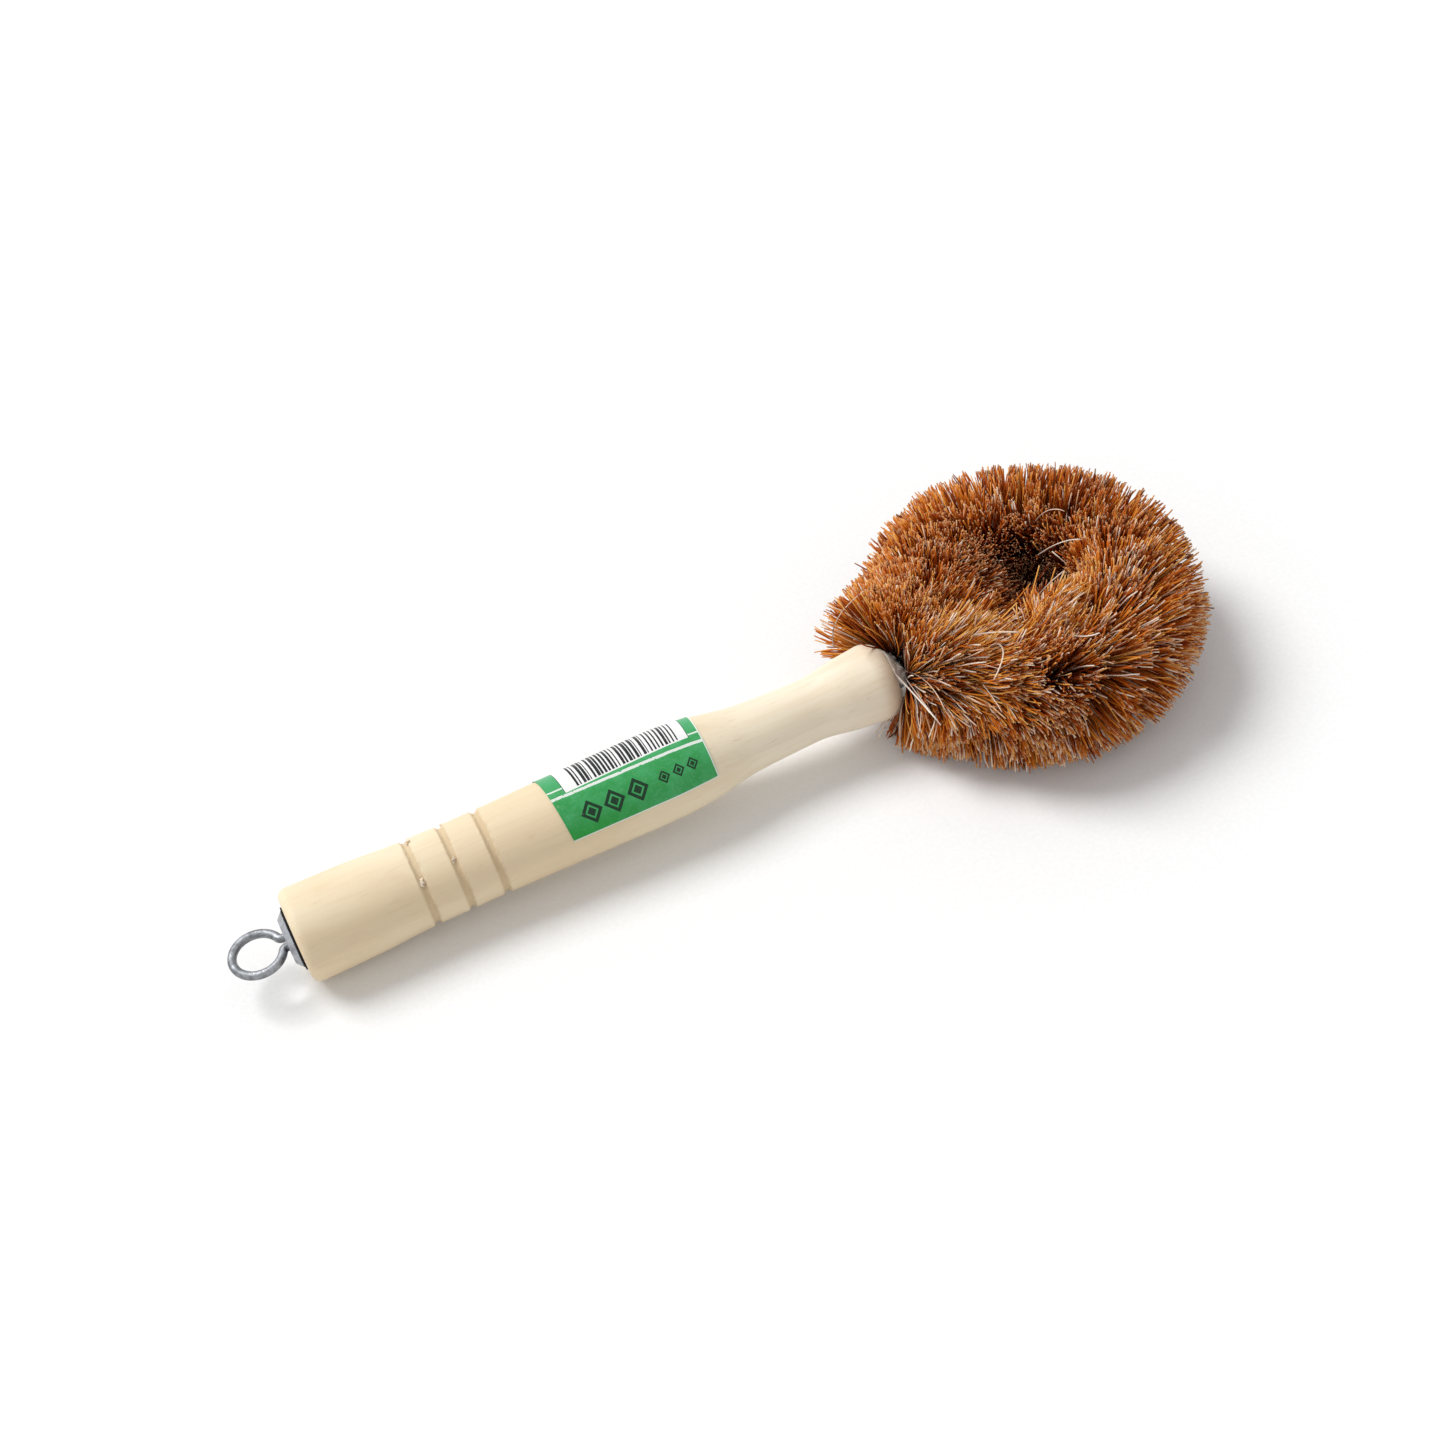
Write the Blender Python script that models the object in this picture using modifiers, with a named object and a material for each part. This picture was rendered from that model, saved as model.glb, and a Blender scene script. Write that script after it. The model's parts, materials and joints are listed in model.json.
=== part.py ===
"""A pot brush: palm fibre twisted into a folded wire, bent to a ring and held in a turned wooden handle.

The brush is modelled along +X, from the butt of the handle at zero to the head, with the ring of
the head in the XY plane. At the end it is laid down as it rests on a table: on the edge of its
butt and on the trimmed underside of its bristles, centred over the origin.
"""

import math
import random

import bmesh
import bpy
import numpy as np
from mathutils import Matrix, Vector

# Clearances
seat_gap = 0.0003
bend_gap = 0.00045
cut_overrun = 0.004
merge_distance = 0.00001

# Handle, turned from pale wood: runs from the butt to the tip, and the radii between them
waist_run = 0.050
swell_run = 0.052
neck_run = 0.042
bulb_run = 0.018
dome_length = 0.008
butt_radius = 0.01275
butt_land = 0.00165
waist_radius = 0.01145
swell_radius = 0.0120
neck_radius = 0.0083
bulb_radius = 0.0105
handle_sides = 28
profile_points = 18
rounding_points = 4
dome_points = 6

# Outline between those radii, as shares of each run's length and of its change of radius
butt_to_waist_shares = ((0.31, 0.19), (0.62, 0.81))
waist_to_swell_shares = ((0.38, 0.36),)
swell_to_neck_shares = ((0.24, 0.175), (0.40, 0.47), (0.57, 0.78), (0.76, 0.905))
neck_to_bulb_shares = ((0.55, 0.61),)

# Grooves turned round the grip
groove_count = 3
groove_first = 0.0346
groove_spacing = 0.0097
groove_width = 0.0024
groove_depth = 0.0008
groove_shares = ((-0.5, 0.0), (-0.22, 0.8), (0.0, 1.0), (0.22, 0.8), (0.5, 0.0))

# Wire, folded at the hanging eye and twisted together from the butt onwards
wire_radius = 0.0012
strand_gap = 0.0008
shank_pitch = 0.040
head_pitch = 0.014
points_a_turn = 8
eye_points = 30
eye_radius = 0.0067
eye_fillet = 0.0015
eye_standoff = 0.0003
shank_bend = 0.012
socket_floor_gap = 0.0005
tail_depth = 0.0085

# Cup washer under the eye
washer_radius = 0.0086
washer_boss_radius = 0.0063
washer_foot_radius = 0.0079
washer_height = 0.0023
washer_thickness = 0.0005
washer_sides = 28
washer_seat_depth = 0.0003

# Glue that fills the mouth of the handle round the wire
glue_wall = 0.0004
glue_depth = 0.006

# Ring of bristles: the core line's ring, and how far the fibre reaches from it. The shears have left
# more fibre ahead, and the far side is swept back further than the near one
ring_radius = 0.0238
ring_fillet = 0.016
neck_standoff = 0.0004
neck_clearance = 0.0006
hole_radius = 0.0052
rim_reach = 0.0236
rim_ahead = 0.0015
pile_height = 0.0192
far_neck_reach = 0.0200
near_neck_reach = 0.0212
neck_height = 0.0208
trim_power = 2.6
backing_radius = 0.0055
backing_wall = 0.00035
collar_height = 0.0014
floor_cut = 0.0005
slice_count = 13
rows_a_slice = 3
strands_a_row = 12
collar_along_share = 0.40
collar_around_share = 0.52
tip_share = 0.34
length_spread_share = 0.07
lean_spread = math.radians(4)
far_swept_angle = math.radians(42)
near_swept_angle = math.radians(57)
square_angle = math.radians(75)

# Label, wrapped over the top of the grip from one edge on the near side
label_start = 0.0739
label_length = 0.0406
label_width = 0.0300
label_skew = 0.0018
label_flare = 0.0030
label_thickness = 0.0002
label_edge = math.radians(74)

# What follows from those sizes
butt_rounding = butt_radius - washer_radius - butt_land
waist_at = waist_run
swell_at = waist_at + swell_run
neck_at = swell_at + neck_run
bulb_at = neck_at + bulb_run
handle_length = bulb_at + dome_length
strand_offset = wire_radius + strand_gap / 2
pair_radius = strand_offset + wire_radius
bore_radius = pair_radius + seat_gap
backing_bore_radius = (pair_radius + bend_gap) / math.cos(math.pi / strands_a_row)
leg_offset = backing_bore_radius + backing_wall + seat_gap / 2
glue_radius = leg_offset + pair_radius + seat_gap + glue_wall
socket_radius = glue_radius + seat_gap
tail_end = handle_length - tail_depth
shank_bend_start = tail_end - shank_bend
socket_floor = shank_bend_start - socket_floor_gap
washer_top = washer_height + seat_gap - washer_seat_depth


def new_material(name, colour, roughness, metallic=0.0):
    """One plain finish for one piece."""
    material = bpy.data.materials.new(name)
    material.use_nodes = True
    shader = material.node_tree.nodes["Principled BSDF"]
    shader.inputs["Base Color"].default_value = (*colour, 1)
    shader.inputs["Roughness"].default_value = roughness
    shader.inputs["Metallic"].default_value = metallic
    return material


def new_piece(name, data, material, collection, parent):
    """Adds a mesh or a curve to the brush as a named piece."""
    piece = bpy.data.objects.new(name, data)
    data.materials.append(material)
    collection.objects.link(piece)
    piece.parent = parent
    return piece


def smooth_value(stations, place):
    """Reads a smooth line through stations of place and value, which doesn't swing past any of them."""
    places, values = zip(*stations)
    rises = [
        (values[i + 1] - values[i]) / (places[i + 1] - places[i])
        for i in range(len(stations) - 1)
    ]
    slopes = [rises[0]]
    for before, after in zip(rises, rises[1:]):
        turns = before * after <= 0
        slopes.append(0 if turns else 2 * before * after / (before + after))
    slopes.append(rises[-1])
    for i, rise in enumerate(rises):
        if place <= places[i + 1] or i == len(rises) - 1:
            run = places[i + 1] - places[i]
            t = (place - places[i]) / run
            start = (1 + 2 * t) * (1 - t) ** 2 * values[i] + t * (1 - t) ** 2 * run * slopes[i]
            end = t * t * (3 - 2 * t) * values[i + 1] + t * t * (t - 1) * run * slopes[i + 1]
            return start + end


def between(start, end, shares):
    """Places on the way from one station to another, as shares of the run and of the rise."""
    return [
        (start[0] + along * (end[0] - start[0]), start[1] + rise * (end[1] - start[1]))
        for along, rise in shares
    ]


def handle_stations():
    """The handle's radius from the butt's rounding to the widest part of its bulb."""
    butt = (butt_rounding, butt_radius)
    waist = (waist_at, waist_radius)
    swell = (swell_at, swell_radius)
    neck = (neck_at, neck_radius)
    bulb = (bulb_at, bulb_radius)
    return [
        butt,
        *between(butt, waist, butt_to_waist_shares),
        waist,
        *between(waist, swell, waist_to_swell_shares),
        swell,
        *between(swell, neck, swell_to_neck_shares),
        neck,
        *between(neck, bulb, neck_to_bulb_shares),
        bulb,
    ]


def dome_point(radius, turn):
    """A point of the domed tip, for the wood's radius or for that of the glue inside it."""
    return radius * math.cos(turn), bulb_at + dome_length * math.sin(turn)


def dome_turn(radius):
    """How far round the dome its surface has a given radius."""
    return math.acos(radius / bulb_radius)


def handle_outline():
    """The handle's section as a closed line of radius and place, down its outside and up its bore.

    The washer has pressed a shallow seat into the butt, which leaves a flat ring outside it.
    """
    stations = handle_stations()
    mouth = dome_turn(socket_radius)
    dome = [dome_point(bulb_radius, mouth * (1 - i / dome_points)) for i in range(dome_points)]
    grooves = [groove_first + i * groove_spacing for i in range(groove_count)]
    side = [(smooth_value(stations, x), x) for x, _ in stations]
    for i in range(profile_points + 1):
        x = butt_rounding + (bulb_at - butt_rounding) * i / profile_points
        side.append((smooth_value(stations, x), x))
    spacing = (bulb_at - butt_rounding) / profile_points
    side = [
        point for point in side
        if all(abs(point[1] - groove) > groove_width / 2 + spacing / 4 for groove in grooves)
    ]
    for groove in grooves:
        for across, deep in groove_shares:
            x = groove + across * groove_width
            side.append((smooth_value(stations, x) - deep * groove_depth, x))
    side.sort(key=lambda point: -point[1])
    kept = [side[0]]
    for point in side[1:]:
        if kept[-1][1] - point[1] > groove_width / 8:
            kept.append(point)
    corner = []
    for i in range(1, rounding_points + 1):
        turn = math.pi / 2 * i / rounding_points
        corner.append(
            (
                butt_radius - butt_rounding * (1 - math.cos(turn)),
                butt_rounding * (1 - math.sin(turn)),
            )
        )
    bore = [
        (washer_radius + seat_gap, 0),
        (washer_radius + seat_gap, washer_seat_depth),
        (bore_radius, washer_seat_depth),
        (bore_radius, socket_floor),
        (socket_radius, socket_floor),
    ]
    return dome + kept + corner + bore


def turned_piece(name, outline, sides, material, collection, parent):
    """Turns a section, given as radius and place, about the Z axis of its own object."""
    mesh = bpy.data.meshes.new(name)
    edges = [(i, (i + 1) % len(outline)) for i in range(len(outline))]
    if outline[0][0] == outline[-1][0] == 0:
        edges.pop()
    mesh.from_pydata([(radius, 0, place) for radius, place in outline], edges, [])
    piece = new_piece(name, mesh, material, collection, parent)
    screw = piece.modifiers.new("turn", "SCREW")
    screw.steps = screw.render_steps = sides
    screw.use_merge_vertices = True
    screw.merge_threshold = merge_distance
    screw.use_smooth_shade = True
    return piece


def make_handle(material, collection, parent):
    """The handle: one turned piece with a through bore for the wire and a wider socket at its tip."""
    handle = turned_piece("handle", handle_outline(), handle_sides, material, collection, parent)
    handle.rotation_euler = (0, math.pi / 2, 0)
    return handle


def make_washer(material, collection, parent):
    """The cup washer: a shallow steel cup with a sloping wall on a thin rim, mouth down on the butt."""
    corner = washer_thickness / 2
    crown = washer_height - washer_thickness
    outline = [
        (bore_radius, washer_height),
        (washer_boss_radius - corner, washer_height),
        (washer_boss_radius, washer_height - corner),
        (washer_foot_radius, washer_thickness),
        (washer_radius, washer_thickness),
        (washer_radius, 0),
        (washer_foot_radius - washer_thickness, 0),
        (washer_boss_radius - washer_thickness, crown - corner),
        (washer_boss_radius - 2 * washer_thickness, crown),
        (bore_radius, crown),
    ]
    washer = turned_piece("eye_washer", outline, washer_sides, material, collection, parent)
    washer.rotation_euler = (0, -math.pi / 2, 0)
    washer.location = (washer_seat_depth - seat_gap, 0, 0)
    return washer


def cutting_rod(name, radius, length, centre, collection, parent):
    """A rod along X that cuts a bore, kept out of sight."""
    bpy.ops.mesh.primitive_cylinder_add(vertices=handle_sides, radius=radius, depth=length)
    rod = bpy.context.object
    rod.name = name
    for owner in list(rod.users_collection):
        owner.objects.unlink(rod)
    collection.objects.link(rod)
    rod.parent = parent
    rod.rotation_euler = (0, math.pi / 2, 0)
    rod.location = centre
    rod.display_type = "WIRE"
    rod.hide_render = True
    return rod


def make_glue(material, collection, cutters, parent):
    """The glue plug: it fills the socket's mouth, carries on the dome and lets both ends of wire through."""
    start = bulb_at + dome_length - neck_clearance - glue_depth
    mouth = dome_turn(glue_radius)
    last = math.pi / 2
    outline = [(0, handle_length)]
    for i in range(1, dome_points):
        outline.append(dome_point(bulb_radius, last + (mouth - last) * i / (dome_points - 1)))
    outline += [(glue_radius, start), (0, start)]
    plug = turned_piece("glue_plug", outline, handle_sides, material, collection, parent)
    plug.rotation_euler = (0, math.pi / 2, 0)
    for side in (1, -1):
        middle = (start + handle_length) / 2
        rod = cutting_rod(
            f"glue_bore_{'a' if side > 0 else 'b'}",
            pair_radius + seat_gap,
            handle_length - start + cut_overrun,
            (middle, side * leg_offset, 0),
            cutters,
            parent,
        )
        bore = plug.modifiers.new("wire bore", "BOOLEAN")
        bore.object = rod
        bore.operation = "DIFFERENCE"
    return plug


class Loop:
    """The line of a wire that leaves on one leg, goes round a ring and comes back on the other leg.

    It lies in its own XY plane and heads along +X. The legs are parallel, each bends out through a
    fillet, and the line is read by the distance run along it.
    """

    def __init__(self, start, bend, radius, leg_offset, fillet):
        self.bend, self.radius = bend, radius
        self.leg_offset, self.fillet = leg_offset, fillet
        self.start, self.leg = start, bend - start
        rise, reach = leg_offset + fillet, radius + fillet
        self.centre = bend + math.sqrt(reach * reach - rise * rise)
        self.open_angle = math.asin(rise / reach)
        self.turn = math.pi / 2 - self.open_angle
        self.neck = self.leg + fillet * self.turn
        self.length = 2 * (self.neck + radius * (math.pi - self.open_angle))

    def at(self, distance):
        """The point and the direction of travel after a distance."""
        if distance > self.length / 2:
            point, along = self.at(self.length - distance)
            return Vector((point.x, -point.y, 0)), Vector((-along.x, along.y, 0))
        if distance <= self.leg:
            return Vector((self.start + distance, self.leg_offset, 0)), Vector((1, 0, 0))
        if distance <= self.neck:
            turned = (distance - self.leg) / self.fillet
            across, up = math.sin(turned), math.cos(turned)
            centre_y = self.leg_offset + self.fillet
            point = Vector((self.bend + self.fillet * across, centre_y - self.fillet * up, 0))
            return point, Vector((up, across, 0))
        angle = self.open_angle + (distance - self.neck) / self.radius
        across, up = math.sin(angle), math.cos(angle)
        return Vector((self.centre - self.radius * up, self.radius * across, 0)), Vector((across, up, 0))


def sideways(along):
    """The direction in the ring's plane that points away from its middle."""
    return Vector((-along.y, along.x, 0))


def shank_at(distance):
    """The pair's line inside the handle: on the axis, then over to the side of the socket."""
    t = (distance - shank_bend_start) / shank_bend
    if t <= 0:
        return Vector((distance, 0, 0)), Vector((1, 0, 0))
    shift = leg_offset * t * t * (3 - 2 * t)
    slope = leg_offset * 6 * t * (1 - t) / shank_bend
    return Vector((distance, shift, 0)), Vector((1, slope, 0)).normalized()


def strand_points(ring):
    """The first strand from the butt to the end of its tail, as samples of line, direction and twist."""
    samples = []
    shank_steps = math.ceil(points_a_turn * tail_end / shank_pitch)
    for i in range(shank_steps):
        distance = tail_end * i / shank_steps
        samples.append((*shank_at(distance), math.tau * distance / shank_pitch))
    head_steps = math.ceil(points_a_turn * ring.length / head_pitch)
    twist = math.tau * tail_end / shank_pitch
    for i in range(head_steps + 1):
        distance = ring.length * i / head_steps
        samples.append((*ring.at(distance), twist + math.tau * distance / head_pitch))
    return samples


def least_gap(points, diameter):
    """How near the wire comes to itself, between points that are well apart along it."""
    fine = []
    for start, end in zip(points, points[1:]):
        steps = max(1, math.ceil((end - start).length / (diameter / 8)))
        fine += [start.lerp(end, i / steps) for i in range(steps)]
    places = np.array([tuple(point) for point in fine])
    run = np.concatenate([[0], np.cumsum(np.linalg.norm(np.diff(places, axis=0), axis=1))])
    least = math.inf
    for i in range(0, len(places), 2):
        apart = np.abs(run - run[i]) > 3 * diameter
        least = min(least, np.linalg.norm(places[apart] - places[i], axis=1).min())
    return least - diameter


def make_wire(ring, material, collection, parent):
    """The wire: one length from tail to tail, folded in the middle for the hanging eye."""
    samples = strand_points(ring)
    strands = []
    for side in (0, math.pi):
        strand = []
        for point, along, twist in samples:
            across = sideways(along) * math.cos(twist + side)
            strand.append(point + (across + Vector((0, 0, math.sin(twist + side)))) * strand_offset)
        strands.append(strand)
    eye = Loop(0, washer_top + eye_standoff, eye_radius, strand_offset, eye_fillet)
    fold = []
    for i in range(1, eye_points):
        share = i / eye_points
        point, _ = eye.at(eye.leg + share * (eye.length - 2 * eye.leg))
        fold.append(Vector((-point.x, point.y, 0)))
    points = strands[0][::-1] + fold + strands[1]
    print(f"least gap of the wire to itself: {1000 * least_gap(points, 2 * wire_radius):.2f} mm")
    curve = bpy.data.curves.new("wire", "CURVE")
    curve.dimensions = "3D"
    curve.bevel_depth = wire_radius
    curve.bevel_resolution = 1
    curve.use_fill_caps = True
    spline = curve.splines.new("POLY")
    spline.points.add(len(points) - 1)
    for knot, point in zip(spline.points, points):
        knot.co = (*point, 1)
    spline.use_smooth = True
    return new_piece("twisted_wire", curve, material, collection, parent)


class Floor:
    """The table's plane in the brush's own frame: under the butt's edge and the cut bristles."""

    def __init__(self, ring_centre):
        self.point = Vector((ring_centre, 0, floor_cut - pile_height))
        corner = Vector((butt_rounding, 0, butt_rounding - butt_radius))
        reach = self.point - corner
        fall = math.atan2(-reach.z, reach.x)
        self.tilt = fall - math.asin(butt_rounding / reach.length)
        self.up = Vector((math.sin(self.tilt), 0, math.cos(self.tilt)))

    def height(self, point):
        """How far a point stands above the table."""
        return (point - self.point).dot(self.up)


def part_way(share, near, far):
    """A size on its way from one value to another."""
    return near + min(1, max(0, share)) * (far - near)


def fibre_reach(turn, opened, away):
    """How far the trimmed fibre stands from the core line, all round it: nearly a square with round corners.

    opened is 0 beside the handle, where the fibre is swept back, and 1 round the ring. away is the
    outward side of the core line there.
    """
    neck = far_neck_reach if away.y > 0 else near_neck_reach
    rim = rim_reach + rim_ahead * away.x
    outward = part_way(opened, neck, rim)
    inward = ring_radius - hole_radius
    across = outward if math.cos(turn) > 0 else inward
    upright = part_way(opened, neck_height, pile_height)
    sides = (abs(math.cos(turn)) / across) ** trim_power
    heights = (abs(math.sin(turn)) / upright) ** trim_power
    return (sides + heights) ** (-1 / trim_power)


class BristleRing:
    """The wound fibre round the core line, from one side of the handle's tip to the other."""

    def __init__(self, ring, floor):
        self.ring, self.floor = ring, floor
        self.start = handle_length + neck_clearance - ring.start
        self.length = ring.length - 2 * self.start
        swept = (square_angle - ring.open_angle) * ring.radius
        self.swept_length = ring.neck + swept - self.start

    def place(self, share):
        """The core line's point, direction and outward side at a share of the wound length."""
        point, along = self.ring.at(self.start + share * self.length)
        return point, along, sideways(along)

    def opened(self, share):
        """0 at the handle's tip and 1 where the fibre stands square to the core line."""
        return min(1, min(share, 1 - share) * self.length / self.swept_length)

    def outward(self, share, away):
        """Which way the outer fibre leans: swept back along the handle near it, square to the core beyond."""
        opened = self.opened(share)
        if opened == 1:
            return away
        side = 1 if share < 0.5 else -1
        swept = far_swept_angle if side > 0 else near_swept_angle
        lean = part_way(opened, swept, square_angle)
        return Vector((-math.cos(lean), side * math.sin(lean), 0))

    def grows(self, row, column):
        """Whether a strand grows here: the ring's inner side and the neck have room for fewer."""
        inward = min(column, strands_a_row - column)
        share = (row + 0.5) / (slice_count * rows_a_slice)
        in_neck = min(share, 1 - share) * self.length < self.ring.neck - self.start
        if in_neck:
            return inward <= strands_a_row / 4
        if inward > strands_a_row / 3:
            return row % rows_a_slice == rows_a_slice // 2
        return True


def section_ring(bm, bristles, share, radius, trimmed):
    """One round of points about the core line, flattened where the other half of the neck lies."""
    point, along, away = bristles.place(share)
    frame = Matrix((away, Vector((0, 0, 1)), along)).transposed().to_4x4()
    half_step = Matrix.Rotation(math.pi / strands_a_row, 4, "Z")
    made = bmesh.ops.create_circle(
        bm,
        segments=strands_a_row,
        radius=radius,
        matrix=Matrix.Translation(point) @ frame @ half_step,
    )["verts"]
    side = 1 if share < 0.5 else -1
    if trimmed:
        for vert in made:
            vert.co.y = side * max(side * vert.co.y, seat_gap / 2)
    return made


def loft(bm, near, far):
    """Faces between two rounds of points that were made alike, in order round the line."""
    return [
        bm.faces.new((near[i - 1], near[i], far[i], far[i - 1]))
        for i in range(len(near))
    ]


def grow_strand(bm, face, bristles, row, column, chance):
    """Draws one tapered strand out of a face of the backing, trimmed to the head's shape and the table."""
    share = (row + 0.5) / (slice_count * rows_a_slice)
    point, along, away = bristles.place(share)
    turn = math.tau * column / strands_a_row
    outer = bristles.outward(share, away) if math.cos(turn) > 0 else away
    lean = outer * math.cos(turn) + Vector((0, 0, math.sin(turn)))
    freedom = (1 + math.cos(turn)) / 2
    lean += along * math.tan(lean_spread) * freedom * chance.uniform(-1, 1)
    lean.normalize()
    reach = fibre_reach(turn, bristles.opened(share), away)
    tip = point + lean * reach * (1 - length_spread_share * chance.random())
    middle = face.calc_center_median()
    normal = (middle - point).normalized()
    shape = [vert.co - middle for vert in face.verts]
    shape = [
        along * spoke.dot(along) * collar_along_share
        + (spoke - along * spoke.dot(along)) * collar_around_share
        for spoke in shape
    ]
    collar = middle + normal * collar_height
    for centre, size in ((collar, 1), (tip, tip_share / collar_around_share)):
        face = bmesh.ops.extrude_discrete_faces(bm, faces=[face])["faces"][0]
        for vert, spoke in zip(face.verts, shape):
            vert.co = centre + spoke * size
    way = (tip - collar).normalized()
    for vert in face.verts:
        below = bristles.floor.height(vert.co)
        if below < 0:
            vert.co -= way * (below / way.dot(bristles.floor.up))


def make_bristle_slice(number, bristles, material, collection, parent):
    """One slice of the head: a bored slice of wound fibre roots with the strands that stand on it."""
    bm = bmesh.new()
    chance = random.Random(number)
    first = number * rows_a_slice
    rows = slice_count * rows_a_slice
    inset = seat_gap / 2 / bristles.length
    shares = [(first + i) / rows for i in range(rows_a_slice + 1)]
    shares[0] += inset
    shares[-1] -= inset
    outer = [section_ring(bm, bristles, share, backing_radius, True) for share in shares]
    inner = [section_ring(bm, bristles, share, backing_bore_radius, False) for share in shares]
    walls = [loft(bm, near, far) for near, far in zip(outer, outer[1:])]
    for near, far in zip(inner, inner[1:]):
        loft(bm, near, far)
    for end in (0, -1):
        loft(bm, outer[end], inner[end])
    bmesh.ops.recalc_face_normals(bm, faces=bm.faces)
    for i, wall in enumerate(walls):
        row = first + i
        point, _, away = bristles.place((row + 0.5) / rows)
        for face in wall:
            spoke = face.calc_center_median() - point
            turn = math.atan2(spoke.z, spoke.dot(away)) % math.tau
            column = round(turn / math.tau * strands_a_row) % strands_a_row
            if bristles.grows(row, column):
                grow_strand(bm, face, bristles, row, column, chance)
    mesh = bpy.data.meshes.new(f"bristles_{number + 1:02d}")
    bm.to_mesh(mesh)
    bm.free()
    return new_piece(mesh.name, mesh, material, collection, parent)


def make_label(material, collection, parent):
    """The label: a thin film wrapped over the grip's top, a little askew and cut longer at its far edge."""
    stations = handle_stations()
    bm = bmesh.new()
    bmesh.ops.create_grid(bm, x_segments=8, y_segments=14, size=0.5)
    for vert in bm.verts:
        along, around = vert.co.x + 0.5, vert.co.y + 0.5
        x = label_start + along * label_length - around * label_skew
        x += (along - 0.5) * around * label_flare
        radius = smooth_value(stations, x) + seat_gap
        angle = label_edge - around * label_width / swell_radius
        vert.co = Vector((x, -radius * math.sin(angle), radius * math.cos(angle)))
    for face in bm.faces:
        face.smooth = True
    mesh = bpy.data.meshes.new("label")
    bm.to_mesh(mesh)
    bm.free()
    label = new_piece("label", mesh, material, collection, parent)
    film = label.modifiers.new("film", "SOLIDIFY")
    film.thickness = label_thickness
    film.offset = 1
    return label


def lay_down(root, collection, floor):
    """Turns the brush onto the table and centres it over the origin."""
    root.rotation_euler = (0, -floor.tilt, 0)
    bpy.context.view_layer.update()
    depsgraph = bpy.context.evaluated_depsgraph_get()
    corners = []
    for piece in collection.objects:
        if piece.type in {"MESH", "CURVE"}:
            shape = piece.evaluated_get(depsgraph).to_mesh()
            corners += [piece.matrix_world @ vert.co for vert in shape.vertices]
    low = [min(corner[i] for corner in corners) for i in range(3)]
    high = [max(corner[i] for corner in corners) for i in range(3)]
    root.location = (-(low[0] + high[0]) / 2, -(low[1] + high[1]) / 2, -low[2])
    bpy.context.view_layer.update()


def main():
    for old in list(bpy.data.objects):
        bpy.data.objects.remove(old, do_unlink=True)
    brush = bpy.data.collections.new("pot_brush")
    cutters = bpy.data.collections.new("pot_brush_cutters")
    bpy.context.scene.collection.children.link(brush)
    bpy.context.scene.collection.children.link(cutters)
    root = bpy.data.objects.new("pot_brush_frame", None)
    brush.objects.link(root)

    wood = new_material("pale_wood", (0.83, 0.70, 0.48), 0.55)
    steel = new_material("galvanised_wire", (0.48, 0.49, 0.51), 0.35, 1.0)
    zinc = new_material("zinc_washer", (0.55, 0.56, 0.58), 0.32, 1.0)
    glue = new_material("clear_glue", (0.62, 0.58, 0.50), 0.30)
    film = new_material("green_film", (0.05, 0.36, 0.12), 0.25)

    ring = Loop(tail_end, handle_length + neck_standoff, ring_radius, leg_offset, ring_fillet)
    floor = Floor(ring.centre)
    bristles = BristleRing(ring, floor)
    make_handle(wood, brush, root)
    make_washer(zinc, brush, root)
    make_wire(ring, steel, brush, root)
    make_glue(glue, brush, cutters, root)
    make_label(film, brush, root)
    for number in range(slice_count):
        shade = 0.85 + 0.3 * (number % 2)
        fibre = new_material(f"palm_fibre_{number + 1:02d}", (0.40 * shade, 0.16 * shade, 0.045 * shade), 0.6)
        make_bristle_slice(number, bristles, fibre, brush, root)
    lay_down(root, brush, floor)


main()
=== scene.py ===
import json
import math

import bmesh
import bpy
import numpy as np
from mathutils import Matrix, Vector, noise


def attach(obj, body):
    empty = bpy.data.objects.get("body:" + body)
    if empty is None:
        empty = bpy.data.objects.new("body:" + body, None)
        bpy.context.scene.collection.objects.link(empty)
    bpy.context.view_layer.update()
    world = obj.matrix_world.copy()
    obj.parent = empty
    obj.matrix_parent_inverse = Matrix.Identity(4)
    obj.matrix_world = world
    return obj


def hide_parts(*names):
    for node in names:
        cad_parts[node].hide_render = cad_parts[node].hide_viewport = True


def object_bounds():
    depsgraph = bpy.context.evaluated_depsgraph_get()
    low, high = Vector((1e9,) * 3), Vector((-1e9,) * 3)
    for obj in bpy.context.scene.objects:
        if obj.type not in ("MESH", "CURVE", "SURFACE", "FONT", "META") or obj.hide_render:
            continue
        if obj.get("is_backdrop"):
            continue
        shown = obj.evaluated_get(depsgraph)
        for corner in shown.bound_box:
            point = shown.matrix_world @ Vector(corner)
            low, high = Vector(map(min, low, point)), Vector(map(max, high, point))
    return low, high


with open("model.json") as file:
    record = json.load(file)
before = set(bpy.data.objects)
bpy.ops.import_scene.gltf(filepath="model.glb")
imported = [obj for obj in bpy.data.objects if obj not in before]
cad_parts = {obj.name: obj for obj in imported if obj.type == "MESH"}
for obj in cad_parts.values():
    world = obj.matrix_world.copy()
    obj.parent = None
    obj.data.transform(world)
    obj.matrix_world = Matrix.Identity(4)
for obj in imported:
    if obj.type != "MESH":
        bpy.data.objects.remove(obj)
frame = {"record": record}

cad_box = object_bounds()

# Handle
# One piece of pale, close-grained wood, turned on a lathe with three grooves round the grip, sanded
# and left bare. A bore for the wire runs through it, and a wider socket at the tip takes its ends.

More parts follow.
